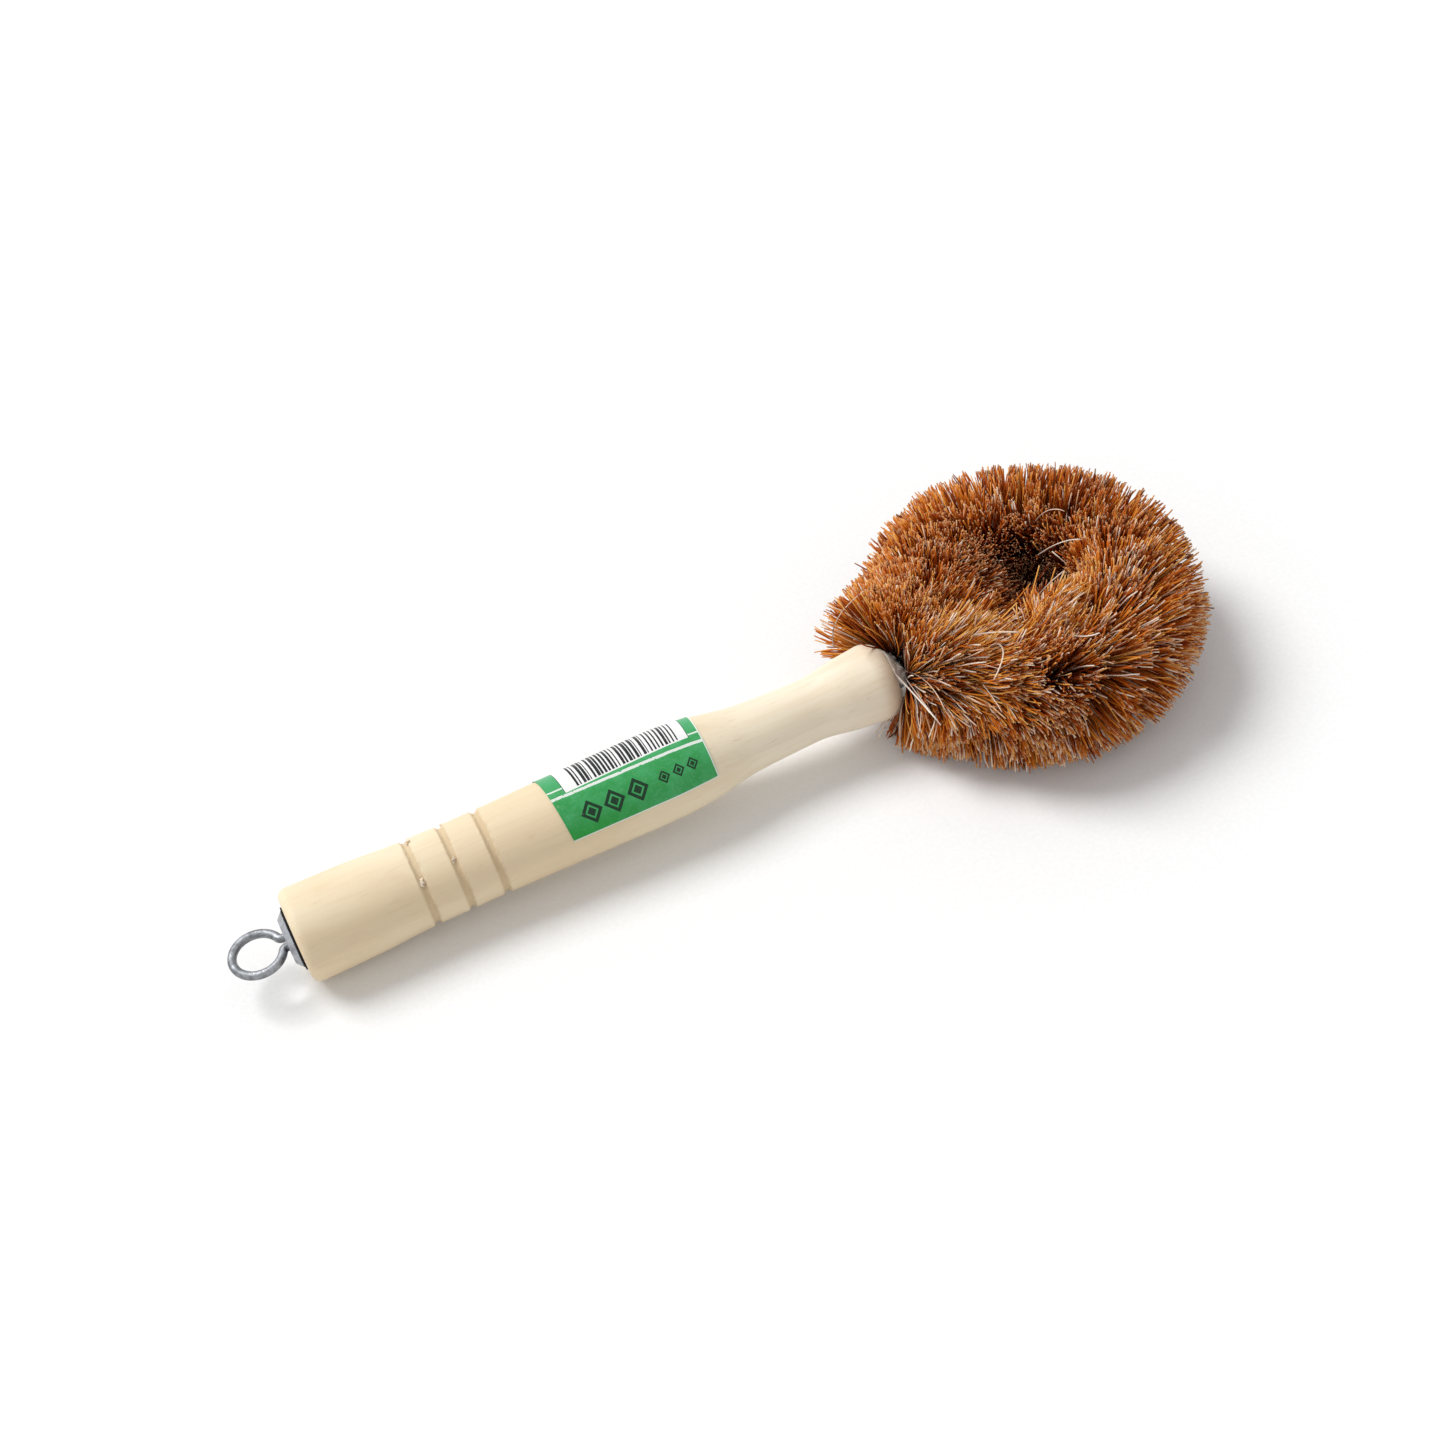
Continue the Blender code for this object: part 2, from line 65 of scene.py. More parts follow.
seat_gap = 0.0003
butt_flat_place, butt_flat_turn = 0.00985, math.pi / 28
waist_at, swell_at, neck_at, bulb_at = 0.050, 0.102, 0.144, 0.162
dome_length = 0.008
handle_length = bulb_at + dome_length
butt_radius, butt_rounding = 0.01275, 0.0025
waist_radius, swell_radius, neck_radius, bulb_radius = 0.01145, 0.0120, 0.0083, 0.0105
groove_places = (0.0346, 0.0443, 0.0540)
groove_width, groove_depth = 0.0024, 0.0008
washer_radius, washer_seat_depth = 0.0086, 0.0003
wire_radius, strand_gap = 0.0012, 0.0008
strand_offset = wire_radius + strand_gap / 2
pair_radius = strand_offset + wire_radius
bore_radius = pair_radius + seat_gap
socket_radius, socket_floor = 0.0076646, 0.149
handle_sides, dome_steps, grip_steps, groove_steps, rounding_steps = 112, 16, 110, 17, 10
drift_height, drift_scale = 0.00008, 90
torn_height, torn_scale, torn_reach = 0.00016, 1300, 0.0007

# A groove's section: shares of half its width out from its middle, and how deep it is there.
groove_section = ((0, 1), (0.44, 0.8), (1, 0), (2, 0))
# Where the outline bends between two named places: shares of the way and of the rise.
grip_bends = (
    ((0.31, 0.19), (0.62, 0.81)),
    ((0.38, 0.36),),
    ((0.24, 0.175), (0.40, 0.47), (0.57, 0.78), (0.76, 0.905)),
    ((0.55, 0.61),),
)

mount = next(mount for mount in frame["record"]["mounts"] if mount["name"] == "butt_face")
handle_axis = -Vector(mount["axis"]).normalized()
across = Vector((0, 1, 0))
upward = handle_axis.cross(across)
brush = Matrix((handle_axis, across, upward)).transposed().to_4x4()
brush.translation = (
    Vector(mount["pos_m"])
    - across * butt_flat_place * math.cos(butt_flat_turn)
    - upward * butt_flat_place * math.sin(butt_flat_turn)
)


class Socket:
    """An output of a node in a material. A sum written on it adds its nodes to that material."""

    def __init__(self, tree, output=None):
        self.tree, self.output = tree, output

    def node(self, kind, settings, values, output=0):
        """Adds a node: its settings first, then a value or a link for each socket that is named."""
        made = self.tree.nodes.new("ShaderNode" + kind)
        for name, setting in settings.items():
            if name == "stops":
                ramp = made.color_ramp
                while len(ramp.elements) < len(setting):
                    ramp.elements.new(1)
                for element, (place, colour) in zip(ramp.elements, setting):
                    element.position, element.color = place, (*colour, 1)
            else:
                setattr(made, name, setting)
        for name, value in values.items():
            if isinstance(value, Socket):
                self.tree.links.new(value.output, made.inputs[name])
            else:
                made.inputs[name].default_value = value
        return Socket(self.tree, made.outputs[output])

    def math(self, operation, *values):
        return self.node("Math", {"operation": operation}, dict(enumerate(values)))

    def __add__(self, other):
        return self.math("ADD", self, other)

    def __sub__(self, other):
        return self.math("SUBTRACT", self, other)

    def __rsub__(self, other):
        return self.math("SUBTRACT", other, self)

    def __mul__(self, other):
        return self.math("MULTIPLY", self, other)

    def __truediv__(self, other):
        return self.math("DIVIDE", self, other)

    def __gt__(self, other):
        return self.math("GREATER_THAN", self, other)

    def __lt__(self, other):
        return self.math("LESS_THAN", self, other)

    def __abs__(self):
        return self.math("ABSOLUTE", self)

    __radd__, __rmul__ = __add__, __mul__

    def ramp(self, low, high):
        """0 where this is at low, 1 where it is at high, and a smooth rise between."""
        values = {"Value": self, "From Min": low, "From Max": high}
        return self.node("MapRange", {"interpolation_type": "SMOOTHSTEP"}, values)

    def mix(self, first, second):
        """The first colour where this is 0 and the second where it is 1."""
        factor, start, end, blended = 0, 6, 7, 2
        values = {factor: self}
        for spot, colour in ((start, first), (end, second)):
            values[spot] = colour if isinstance(colour, Socket) else (*colour, 1)
        return self.node("Mix", {"data_type": "RGBA"}, values, blended)

    def under(self, *layers):
        """This colour under layers of tint: for each its mask, how strong it is, and its colour."""
        colour = self
        for mask, strength, tint in layers:
            colour = (mask * strength).mix(colour, tint)
        return colour

    def place(self):
        """Where a point is in the brush's own frame."""
        return self.node("TexCoord", {}, {}, "Object")

    def mapped(self):
        """Where a point is on the map of its mesh."""
        return self.node("UVMap", {"uv_map": "OFBake"}, {})

    def axis(self, name):
        return self.node("SeparateXYZ", {}, {0: self}, name)

    def stretched(self, amounts):
        return self.node("VectorMath", {"operation": "MULTIPLY"}, {0: self, 1: amounts})

    def grain(self, scale, detail=3, stretch=(1, 1, 1)):
        """Noise over the piece's own shape, drawn out along the axes where stretch is small."""
        values = {"Vector": self.place().stretched(stretch), "Scale": scale, "Detail": detail}
        return self.node("TexNoise", {}, values)

    def bump(self, distance):
        values = {"Strength": 1, "Distance": distance, "Height": self}
        return self.node("Bump", {}, values)


def new_finish(name, **settings):
    """The start of a material's nodes, and the function that feeds its shader and returns it."""
    material = bpy.data.materials.new(name)
    material.use_nodes = True
    tree = material.node_tree
    shader = tree.nodes["Principled BSDF"]
    for setting, value in settings.items():
        shader.inputs[setting.replace("_", " ")].default_value = value

    def fed(**varying):
        for setting, value in varying.items():
            tree.links.new(value.output, shader.inputs[setting.replace("_", " ")])
        return material

    return Socket(tree), fed


def new_object(name, data):
    made = bpy.data.objects.new(name, data)
    bpy.context.scene.collection.objects.link(made)
    return made


def new_piece(name, data, material, replaced=()):
    """Adds a piece in the brush's own frame, on its body and in place of its CAD nodes."""
    data.materials.append(material)
    piece = new_object(name, data)
    piece.matrix_world = brush
    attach(piece, "root")
    if replaced:
        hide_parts(*replaced)


def smooth_mesh(name, bm, sharp_angle=None):
    """Turns what was built into a smooth mesh, with an edge kept where it bends by more."""
    mesh = bpy.data.meshes.new(name)
    bm.to_mesh(mesh)
    bm.free()
    mesh.shade_smooth()
    if sharp_angle:
        mesh.set_sharp_from_angle(angle=sharp_angle)
    return mesh


def smooth_value(stations, place):
    """Reads a smooth line through stations of place and value, which swings past none of them."""
    places, values = zip(*stations)
    rises = np.diff(values) / np.diff(places)
    slopes = [rises[0]]
    for before, after in zip(rises, rises[1:]):
        slopes.append(0 if before * after <= 0 else 2 * before * after / (before + after))
    slopes.append(rises[-1])
    i = min(max(int(np.searchsorted(places, place)) - 1, 0), len(rises) - 1)
    run = places[i + 1] - places[i]
    t = (place - places[i]) / run
    start = (1 + 2 * t) * (1 - t) ** 2 * values[i] + t * (1 - t) ** 2 * run * slopes[i]
    return start + t * t * (3 - 2 * t) * values[i + 1] + t * t * (t - 1) * run * slopes[i + 1]


def grip_radius(place):
    """The turned radius from the butt's rounding to the bulb, before the grooves are cut."""
    main = (
        (butt_rounding, butt_radius), (waist_at, waist_radius), (swell_at, swell_radius),
        (neck_at, neck_radius), (bulb_at, bulb_radius),
    )
    stations = []
    for start, end, bends in zip(main, main[1:], grip_bends):
        stations.append(start)
        stations += [[a + by * (b - a) for by, a, b in zip(bend, start, end)] for bend in bends]
    return smooth_value(stations + [main[-1]], place)


def groove_cut(place):
    """How deep the nearest groove is at a place along the handle."""
    off = min(abs(place - groove) for groove in groove_places) / (groove_width / 2)
    return groove_depth * smooth_value(groove_section, min(off, groove_section[-1][0]))


def handle_outline():
    """The handle's section as places and radii: the dome, the grip, the butt and up the bore."""
    mouth = math.acos(socket_radius / bulb_radius)
    outline = []
    for i in range(dome_steps):
        turn = mouth * (1 - i / dome_steps)
        outline.append((bulb_at + dome_length * math.sin(turn), bulb_radius * math.cos(turn)))
    places = set(np.linspace(butt_rounding, bulb_at, grip_steps))
    for groove in groove_places:
        places |= set(groove + np.linspace(-0.7, 0.7, groove_steps) * groove_width)
    for place in sorted(places, reverse=True):
        outline.append((place, grip_radius(place) - groove_cut(place)))
    for i in range(1, rounding_steps + 1):
        turn = math.pi / 2 * i / rounding_steps
        radius = butt_radius - butt_rounding * (1 - math.cos(turn))
        outline.append((butt_rounding * (1 - math.sin(turn)), radius))
    seat_radius = washer_radius + seat_gap
    outline += [(0, seat_radius + seat_gap), (0, seat_radius), (washer_seat_depth, seat_radius)]
    outline += [(washer_seat_depth, bore_radius), (socket_floor, bore_radius)]
    return outline + [(socket_floor, socket_radius)]


def bridge(bm, near, far):
    """Adds the faces between two closed rounds of vertices."""
    for i in range(len(near)):
        bm.faces.new((near[i - 1], near[i], far[i], far[i - 1]))


def turned_mesh(name, outline, sides, worked=None):
    """Turns a closed section about the X axis; worked moves each point that it is given."""
    bm = bmesh.new()
    rounds = []
    for place, radius in outline:
        line = []
        for i in range(sides):
            turn = math.tau * i / sides
            point = Vector((place, radius * math.cos(turn), radius * math.sin(turn)))
            line.append(bm.verts.new(worked(point) if worked else point))
        rounds.append(line)
    for near, far in zip(rounds, rounds[1:] + rounds[:1]):
        bridge(bm, near, far)
    bmesh.ops.recalc_face_normals(bm, faces=bm.faces)
    return smooth_mesh(name, bm, math.radians(40))


def sanded(point):
    """Wood as sanding leaves it: a hair out of round, and torn along the edges of the grooves.

    The bore, the socket and the face of the butt stay as they were cut.
    """
    radius = math.hypot(point.y, point.z)
    if radius < neck_radius * 0.95 or point.x < butt_rounding / 2:
        return point
    drift = drift_height * noise.noise(point * drift_scale)
    near_edge = min(abs(abs(point.x - groove) - groove_width / 2) for groove in groove_places)
    torn = max(0, 1 - near_edge / torn_reach) * torn_height * noise.noise(point * torn_scale)
    scale = (radius + drift + torn) / radius
    return Vector((point.x, point.y * scale, point.z * scale))


def wood_finish():
    """Bare wood: faint straight grain, warmer flecks, and darker, rougher floors in the grooves."""
    start, fed = new_finish("bare_turned_wood", IOR=1.45)
    streaks = start.grain(230, 6, (0.05, 1, 1))
    fine = start.grain(1500, 3, (0.04, 1, 1))
    blush = start.grain(38, 2, (0.5, 1, 1))
    fleck = start.grain(900, 2, (0.18, 1, 1)).ramp(0.68, 0.74)
    along = start.place().axis("X")
    blotch = start.grain(170, 5, (0.35, 1, 1)).ramp(0.50, 0.72) * (1 - along.ramp(0.09, 0.15))
    wander = (start.grain(700, 4) - 0.5) * 0.0011
    cut = 0
    for groove in groove_places:
        off = abs(along + wander - groove)
        cut = cut + (1 - off.ramp(groove_width * 0.22, groove_width * 0.62))
    pores = start.grain(5200, 2).ramp(0.66, 0.75)
    across_grip = start.place().stretched((0, 1, 1))
    radial = start.node("VectorMath", {"operation": "LENGTH"}, {0: across_grip}, "Value")
    # Painted shadow: a dark ring on the butt round the washer, for the shaded gap under its rim.
    seat = (along - 0.0001) / 0.0003 + start.grain(900, 3) * 0.6
    painted_seat_shadow = 1 - radial.ramp(washer_radius + 0.0006, washer_radius + 0.0018)
    painted_seat_shadow = painted_seat_shadow * (1 - seat.ramp(1, 2))
    warm = blush.ramp(0.38, 0.64).mix((0.895, 0.765, 0.545), (0.845, 0.680, 0.455))
    # Paler towards the neck: partly the wood's own tone, partly painted light against the head's
    # shade there.
    colour = (along.ramp(0.085, 0.150) * 0.8).mix(warm, (0.930, 0.845, 0.690)).under(
        (blotch, 0.30, (0.760, 0.560, 0.370)),
        (streaks.ramp(0.42, 0.70), 0.35, (0.760, 0.590, 0.380)),
        (fine.ramp(0.5, 0.8), 0.22, (0.62, 0.44, 0.25)),
        (fleck, 0.25, (0.60, 0.42, 0.24)),
        (cut, 0.54, (0.58, 0.43, 0.25)),
        (pores * cut, 0.5, (0.36, 0.22, 0.10)),
        # The painted shadow round the washer.
        (painted_seat_shadow, 0.85, (0.10, 0.075, 0.05)),
    )
    height = streaks * 0.4 + fine * 0.35 + cut * start.grain(2600, 3) * 1.6
    roughness = 0.50 + 0.14 * streaks + 0.12 * cut
    return fed(Base_Color=colour, Roughness=roughness, Normal=height.bump(0.00012))


wood = wood_finish()
handle_mesh = turned_mesh("turned_handle", handle_outline(), handle_sides, sanded)
new_piece("turned_handle", handle_mesh, wood, ["handle"])


# Slivers in the grooves
# Small flakes of the same wood that the turning tool tore up and the sanding left hanging in the
# edges of the grooves, paler than the surface because they are freshly broken.

sliver_length, sliver_stand = 0.0011, 0.12
sliver_sides = (0.44, -0.05)
sliver_stretch, sliver_crumple, crumple_scale = (1.25, 1, 0.55), 0.5, 2600
# For each its groove, its turn round the handle in degrees, and its size.
sliver_spots = (
    (0, -23, 1.1), (0, 43, 1.5), (1, -60, 0.7), (1, 32, 1.4), (2, 70, 0.5), (2, 145, 0.8),
)


def sliver_mesh():
    """Broken flakes, each a crumpled blob sunk a little way into the edge of its groove."""
    bm = bmesh.new()
    for number, (groove, turn, size) in enumerate(sliver_spots):
        place = groove_places[groove] + groove_width * sliver_sides[number % 2]
        turn = math.radians(turn)
        out = Vector((0, -math.sin(turn), math.cos(turn)))
        height = grip_radius(place) - groove_cut(place) + sliver_length * sliver_stand
        centre = Vector((place, 0, 0)) + out * height
        radius = sliver_length * size / 2
        made = bmesh.ops.create_icosphere(bm, subdivisions=3, radius=radius)["verts"]
        turned = Matrix.Rotation(number * 1.3, 3, out)
        for vert in made:
            spot = vert.co * crumple_scale + Vector((number * 7, 0, 0))
            shape = vert.co * (1 + sliver_crumple * noise.noise(spot))
            shape = Vector([length * by for length, by in zip(shape, sliver_stretch)])
            vert.co = centre + turned @ shape
    return smooth_mesh("groove_slivers", bm)


def sliver_finish():
    """Freshly broken wood: pale, fibrous and matt."""
    start, fed = new_finish("broken_wood")
    threads = start.grain(4200, 3, (0.2, 1, 1))
    colour = threads.ramp(0.40, 0.60).mix((0.98, 0.93, 0.80), (0.50, 0.30, 0.13))
    return fed(Base_Color=colour, Roughness=0.62 + 0.2 * threads, Normal=threads.bump(0.0001))


new_piece("groove_slivers", sliver_mesh(), sliver_finish())


# Cup washer
# A zinc-plated steel washer pressed into a shallow cup with a sloping wall and a thin rim. It sits
# mouth down on the butt, and the folded eye of the wire pulls it tight against the wood.

washer_boss_radius, washer_foot_radius = 0.0063, 0.0079
washer_height, washer_thickness = 0.0023, 0.0005
washer_sides, washer_easing, easing_steps = 96, washer_thickness * 0.4, 3


def rounded(points, radius, steps):
    """A closed line of points with each corner eased over to a small arc."""
    line = []
    for i, point in enumerate(points):
        before = Vector(points[i - 1]) - Vector(point)
        after = Vector(points[(i + 1) % len(points)]) - Vector(point)
        cut = min(radius, before.length * 0.45, after.length * 0.45)
        near = Vector(point) + before.normalized() * cut
        far = Vector(point) + after.normalized() * cut
        for j in range(steps + 1):
            t = j / steps
            line.append(tuple(near * (1 - t) ** 2 + Vector(point) * 2 * t * (1 - t) + far * t * t))
    return line


def washer_mesh():
    """The pressed section, with the bends that the press leaves, turned about the wire."""
    corner = washer_thickness / 2
    crown = washer_height - washer_thickness
    section = [
        (washer_height, bore_radius),
        (washer_height, washer_boss_radius - corner),
        (washer_height - corner, washer_boss_radius),
        (washer_thickness, washer_foot_radius),
        (washer_thickness, washer_radius),
        (0, washer_radius),
        (0, washer_foot_radius - washer_thickness),
        (crown - corner, washer_boss_radius - washer_thickness),
        (crown, washer_boss_radius - 2 * washer_thickness),
        (crown, bore_radius),
    ]
    seat = washer_seat_depth - seat_gap
    eased = rounded(section, washer_easing, easing_steps)
    outline = [(seat - height, radius) for height, radius in eased]
    return turned_mesh("pressed_washer", outline, washer_sides)


def zinc_finish():
    """Zinc plate: a cool, cloudy grey with duller spots, and painted black shadow by the wood."""
    start, fed = new_finish("zinc_plate", Metallic=1.0)
    along = start.place().axis("X")
    clouds = start.grain(420, 5)
    spots = start.grain(1900, 3)
    # Painted shadow: the rim next to the wood goes near black, for the shaded gap under the washer.
    painted_rim_shadow = (along + 0.0003 * (spots - 0.5)).ramp(-0.00082, -0.00062)
    colour = clouds.ramp(0.3, 0.7).mix((0.48, 0.50, 0.53), (0.33, 0.34, 0.36)).under(
        (spots.ramp(0.62, 0.72), 0.5, (0.20, 0.20, 0.21)),
        # The painted shadow along the rim.
        (painted_rim_shadow, 0.96, (0.012, 0.011, 0.010)),
    )
    roughness = 0.28 + 0.22 * clouds + 0.4 * painted_rim_shadow
    return fed(Base_Color=colour, Roughness=roughness, Normal=(spots + clouds).bump(0.00003))


new_piece("pressed_washer", washer_mesh(), zinc_finish(), ["eye_washer"])


# Wire
# One length of galvanised iron wire. It is folded in the middle for the hanging eye, twisted
# through the washer and the handle, twisted again with the fibre between its strands, and bent to
# a ring.

shank_pitch, head_pitch = 0.040, 0.014
turn_points = 26
eye_radius, eye_fillet, eye_standoff, eye_points = 0.0067, 0.0015, 0.0003, 96
leg_offset, shank_bend, tail_depth = 0.0038646, 0.012, 0.0085
tail_end = handle_length - tail_depth
ring_radius, ring_fillet, neck_standoff = 0.0238, 0.016, 0.0004
washer_top = washer_height + seat_gap - washer_seat_depth


class Loop:
    """The line of a wire that leaves on one leg, goes round a ring and comes back on the other leg.

    It lies in its own XY plane and heads along +X. The legs are parallel, each bends out through a
    fillet, and the line is read at distances run along it.
    """

    def __init__(self, start, bend, radius, leg_offset, fillet):
        self.start, self.bend, self.radius = start, bend, radius
        self.leg_offset, self.fillet, self.leg = leg_offset, fillet, bend - start
        rise, reach = leg_offset + fillet, radius + fillet
        self.centre = bend + math.sqrt(reach * reach - rise * rise)
        self.open_angle = math.asin(rise / reach)
        self.neck = self.leg + fillet * (math.pi / 2 - self.open_angle)
        self.length = 2 * (self.neck + radius * (math.pi - self.open_angle))

    def at(self, distances):
        """Points and directions of travel, one row for each distance."""
        distances = np.atleast_1d(np.asarray(distances, float))
        back = distances > self.length / 2
        run = np.where(back, self.length - distances, distances)
        turned = (run - self.leg) / self.fillet
        angle = self.open_angle + (run - self.neck) / self.radius

        def part(leg, fillet, ring):
            return np.select([run <= self.leg, run <= self.neck], [leg, fillet], ring)

        flat = 0 * run
        x = part(
            self.start + run, self.bend + self.fillet * np.sin(turned),
            self.centre - self.radius * np.cos(angle),
        )
        y = part(
            self.leg_offset + flat, self.leg_offset + self.fillet * (1 - np.cos(turned)),
            self.radius * np.sin(angle),
        )
        along_x = part(flat + 1, np.cos(turned), np.sin(angle))
        along_y = part(flat, np.sin(turned), np.cos(angle))
        side = np.where(back, -1, 1)
        points = np.stack([x, y * side, flat], -1)
        return points, np.stack([along_x * side, along_y, flat], -1)


def sideways(along):
    """The direction in the ring's plane that points away from its middle."""
    return np.stack([-along[..., 1], along[..., 0], 0 * along[..., 0]], -1)


ring = Loop(tail_end, handle_length + neck_standoff, ring_radius, leg_offset, ring_fillet)


def wire_path():
    """The whole wire from tail to tail, as points."""
    steps = math.ceil(turn_points * tail_end / shank_pitch)
    shank = tail_end * np.arange(steps) / steps
    t = np.clip((shank - (tail_end - shank_bend)) / shank_bend, 0, 1)
    shift = leg_offset * t * t * (3 - 2 * t)
    slope = leg_offset * 6 * t * (1 - t) / shank_bend
    shank_along = np.stack([1 + 0 * slope, slope, 0 * slope], -1)
    shank_along /= np.linalg.norm(shank_along, axis=1, keepdims=True)
    head = np.linspace(0, ring.length, math.ceil(turn_points * ring.length / head_pitch))
    head_points, head_along = ring.at(head)
    points = np.concatenate([np.stack([shank, shift, 0 * shank], -1), head_points])
    along = np.concatenate([shank_along, head_along])
    turns = np.concatenate([shank / shank_pitch, tail_end / shank_pitch + head / head_pitch])
    strands = []
    for side in (0, math.pi):
        out = sideways(along) * np.cos(math.tau * turns + side)[:, None]
        out[:, 2] = np.sin(math.tau * turns + side)
        strands.append(points + out * strand_offset)
    eye = Loop(0, washer_top + eye_standoff, eye_radius, strand_offset, eye_fillet)
    fold = eye.leg + np.arange(1, eye_points) / eye_points * (eye.length - 2 * eye.leg)
    fold = eye.at(fold)[0]
    fold[:, 0] *= -1
    return np.concatenate([strands[0][::-1], fold, strands[1]])


def wire_curve():
    curve = bpy.data.curves.new("folded_wire", "CURVE")
    curve.dimensions = "3D"
    curve.bevel_depth = wire_radius
    curve.bevel_resolution = 5
    curve.use_fill_caps = True
    path = wire_path()
    spline = curve.splines.new("POLY")
    spline.points.add(len(path) - 1)
    spline.points.foreach_set("co", np.column_stack([path, np.ones(len(path))]).ravel())
    spline.use_smooth = True
    return curve


def galvanised_finish():
    """Hot-dipped zinc on drawn wire: mottled grey and dull, with a few dark pits."""
    start, fed = new_finish("galvanised_iron", Metallic=1.0)
    mottle = start.grain(520, 5)
    pits = start.grain(2600, 3)
    colour = mottle.ramp(0.32, 0.68).mix((0.32, 0.33, 0.35), (0.17, 0.18, 0.19))
    colour = colour.under((pits.ramp(0.62, 0.70), 0.7, (0.09, 0.09, 0.09)))
    height = mottle * 2 + pits
    return fed(Base_Color=colour, Roughness=0.36 + 0.24 * mottle, Normal=height.bump(0.00009))


galvanised = galvanised_finish()
new_piece("folded_wire", wire_curve(), galvanised, ["twisted_wire"])


# Palm fibre
# Stiff brown fibre from the palm's leaf sheath, laid crosswise between the strands of the wire and
# twisted in until it stands out all round like a bottle brush. The ring is then clipped to shape:
# paler cut ends, swept back at the neck, fanned at its mouth. Towards the wire each fibre darkens
# and reddens, partly its own colour and partly painted shade between the dense fibres.

slice_count, lock_count, mouth_locks, lock_tufts, tuft_fibres = 13, 400, 32, 6, 10
fibre_radius, fibre_thickness, fibre_taper = 0.00023, (0.75, 1.2), 0.15
fibre_segments, fibre_sides, stray_points = 5, 3, 13
root_radius, neck_clearance, table_clearance, wood_clearance = 0.0022, 0.0006, 0.00015, 0.0003

# How far the shears leave it standing: out of the ring, into its hole, up, down and at the neck.
rim_reach, rim_ahead, pile_height, trim_power = 0.0230, 0.0034, 0.0192, 2.6
hole_radius, hole_ahead, hole_aside = 0.0052, 0.0112, -0.0028
far_bulge, far_bulge_way = 0.0016, (-0.5, 0.87, 0)
lip, lip_power, lip_in_way, lip_out_way = 0.0034, 4, (-0.7, -0.71, 0), (0.6, -0.8, 0)
far_neck_reach, neck_height, far_neck_depth, leaning_reach = 0.0222, 0.0205, 0.0170, 1.27
near_places, near_neck_reaches, near_neck_depths = (0, 0.006), (0.0155, 0.0226), (0.0170, 0.0198)

# Which way it stands: swept back at the neck, square to the wire further on, and leaning along it.
far_swept_angle, near_swept_angles = math.radians(42), (math.radians(36), math.radians(57))
square_angle, forward_angle = math.radians(75), math.radians(12)
upper_rise, far_square_rise, near_square_rise = (-0.15, 0.6), (0.15, 0.5), (-0.80, 0.35)
near_lean_places = (0, 0.0045, 0.012, 0.022, 0.034, 0.040, 0.046, 0.060, 0.080)
near_leans = (0.10, 1.45, 1.35, 1.05, 0.60, 0.15, 0.60, 0.45, 0.20)
far_lean_places, far_leans = (0, 0.004, 0.015, 0.040), (-0.10, 0.32, 0.20, 0)
outer_lean_loss, lower_lean = 0.35, 0.05

# How locks, tufts and fibres stray from each other. A second value is for the wild fibres.
lock_step, lock_turn_stray, lock_lean_stray, lock_tone_stray = 2.399963, 0.15, 0.075, 0.055
mouth_run, mouth_turns, low_mouth_turns = 0.0030, (0.5, 2.2), (-1.5, 0.4)
mouth_lean_stray, mouth_forward = 0.22, 0.06
lock_reach, tuft_turn_stray, tuft_lean_stray, tuft_tone_stray = 0.0020, 0.22, 0.065, 0.06
tuft_reach, reach_strays, turn_strays, lean_strays = 0.0009, (1, 2.2), (0.10, 0.22), (0.06, 0.19)
length_stray, length_loss, sag_stray, crinkle, tone_stray = 0.018, 0.06, 0.028, 0.00006, 0.17
wild_share, stub_share, stub_length, strand_pull = 0.15, 0.03, 0.85, 0.12
least_pull, more_pull, least_length, end_margin = 0.20, 0.26, 0.98, 0.0005

# Where the pile parts: a whorl on the near side, and straight seams across the ring, in degrees.
parting, parting_radius, parting_push = (0.2035, -0.0385, 0.0150), 0.0110, 0.0050
seam_turns, seam_width, seam_push = (92, 79, 66, 58, 44, 29, 23, 118, 136), 0.0014, 0.0007

# Tones run from 0, near black, to 1, straw. A patch has its middle, its radius, and what it adds
# to the tone, to the share of pale fibres and to the share of dark ones. Painted shade darkens the
# hole and the whorl, painted light the crest, and many pale fibres are painted highlights.
# The middle of the painted shade deep in the hole.
hole_shade_middle = (0.2165, 0.0140, 0.0080)
patches = (
    # Painted shade at the whorl, with more pale and more dark fibres.
    (parting, 0.008, -0.19, 0.10, 0.10),
    # Painted shade deep in the hole, with fewer pale fibres.
    (hole_shade_middle, 0.009, -0.28, -0.04, 0),
    # Lighter beside the mouth, with more pale fibres as painted highlights.
    ((0.1870, -0.0120, 0.0160), 0.014, 0.14, 0.13, 0),
    # Near corner of the neck: more pale fibres as painted highlights, and more dark ones.
    ((0.1740, -0.0220, 0.0110), 0.013, 0, 0.22, 0.16),
)
middle_tone, top_tone, dark_step, pale_tone, pale_stray = 0.47, 0.80, 0.26, 0.84, 0.14
dark_share, pale_highlight_share, near_pale_highlight_share, near_rise = 0.10, 0.07, 0.13, (0, 0.012)
turn_tone, far_tone, crest_light_tone, hole_shade_tone, front_tone = 0.05, -0.03, 0.22, -0.55, -0.05
crest_at, crest_width, crest_rise, crest_near_rise = 0.018, 0.008, (0, 0.012), (-0.006, 0.010)
hole_shade_share, hole_shade_radius, hole_shade_power, front_rise = 0.30, 0.015, 1.5, (0.222, 0.010)

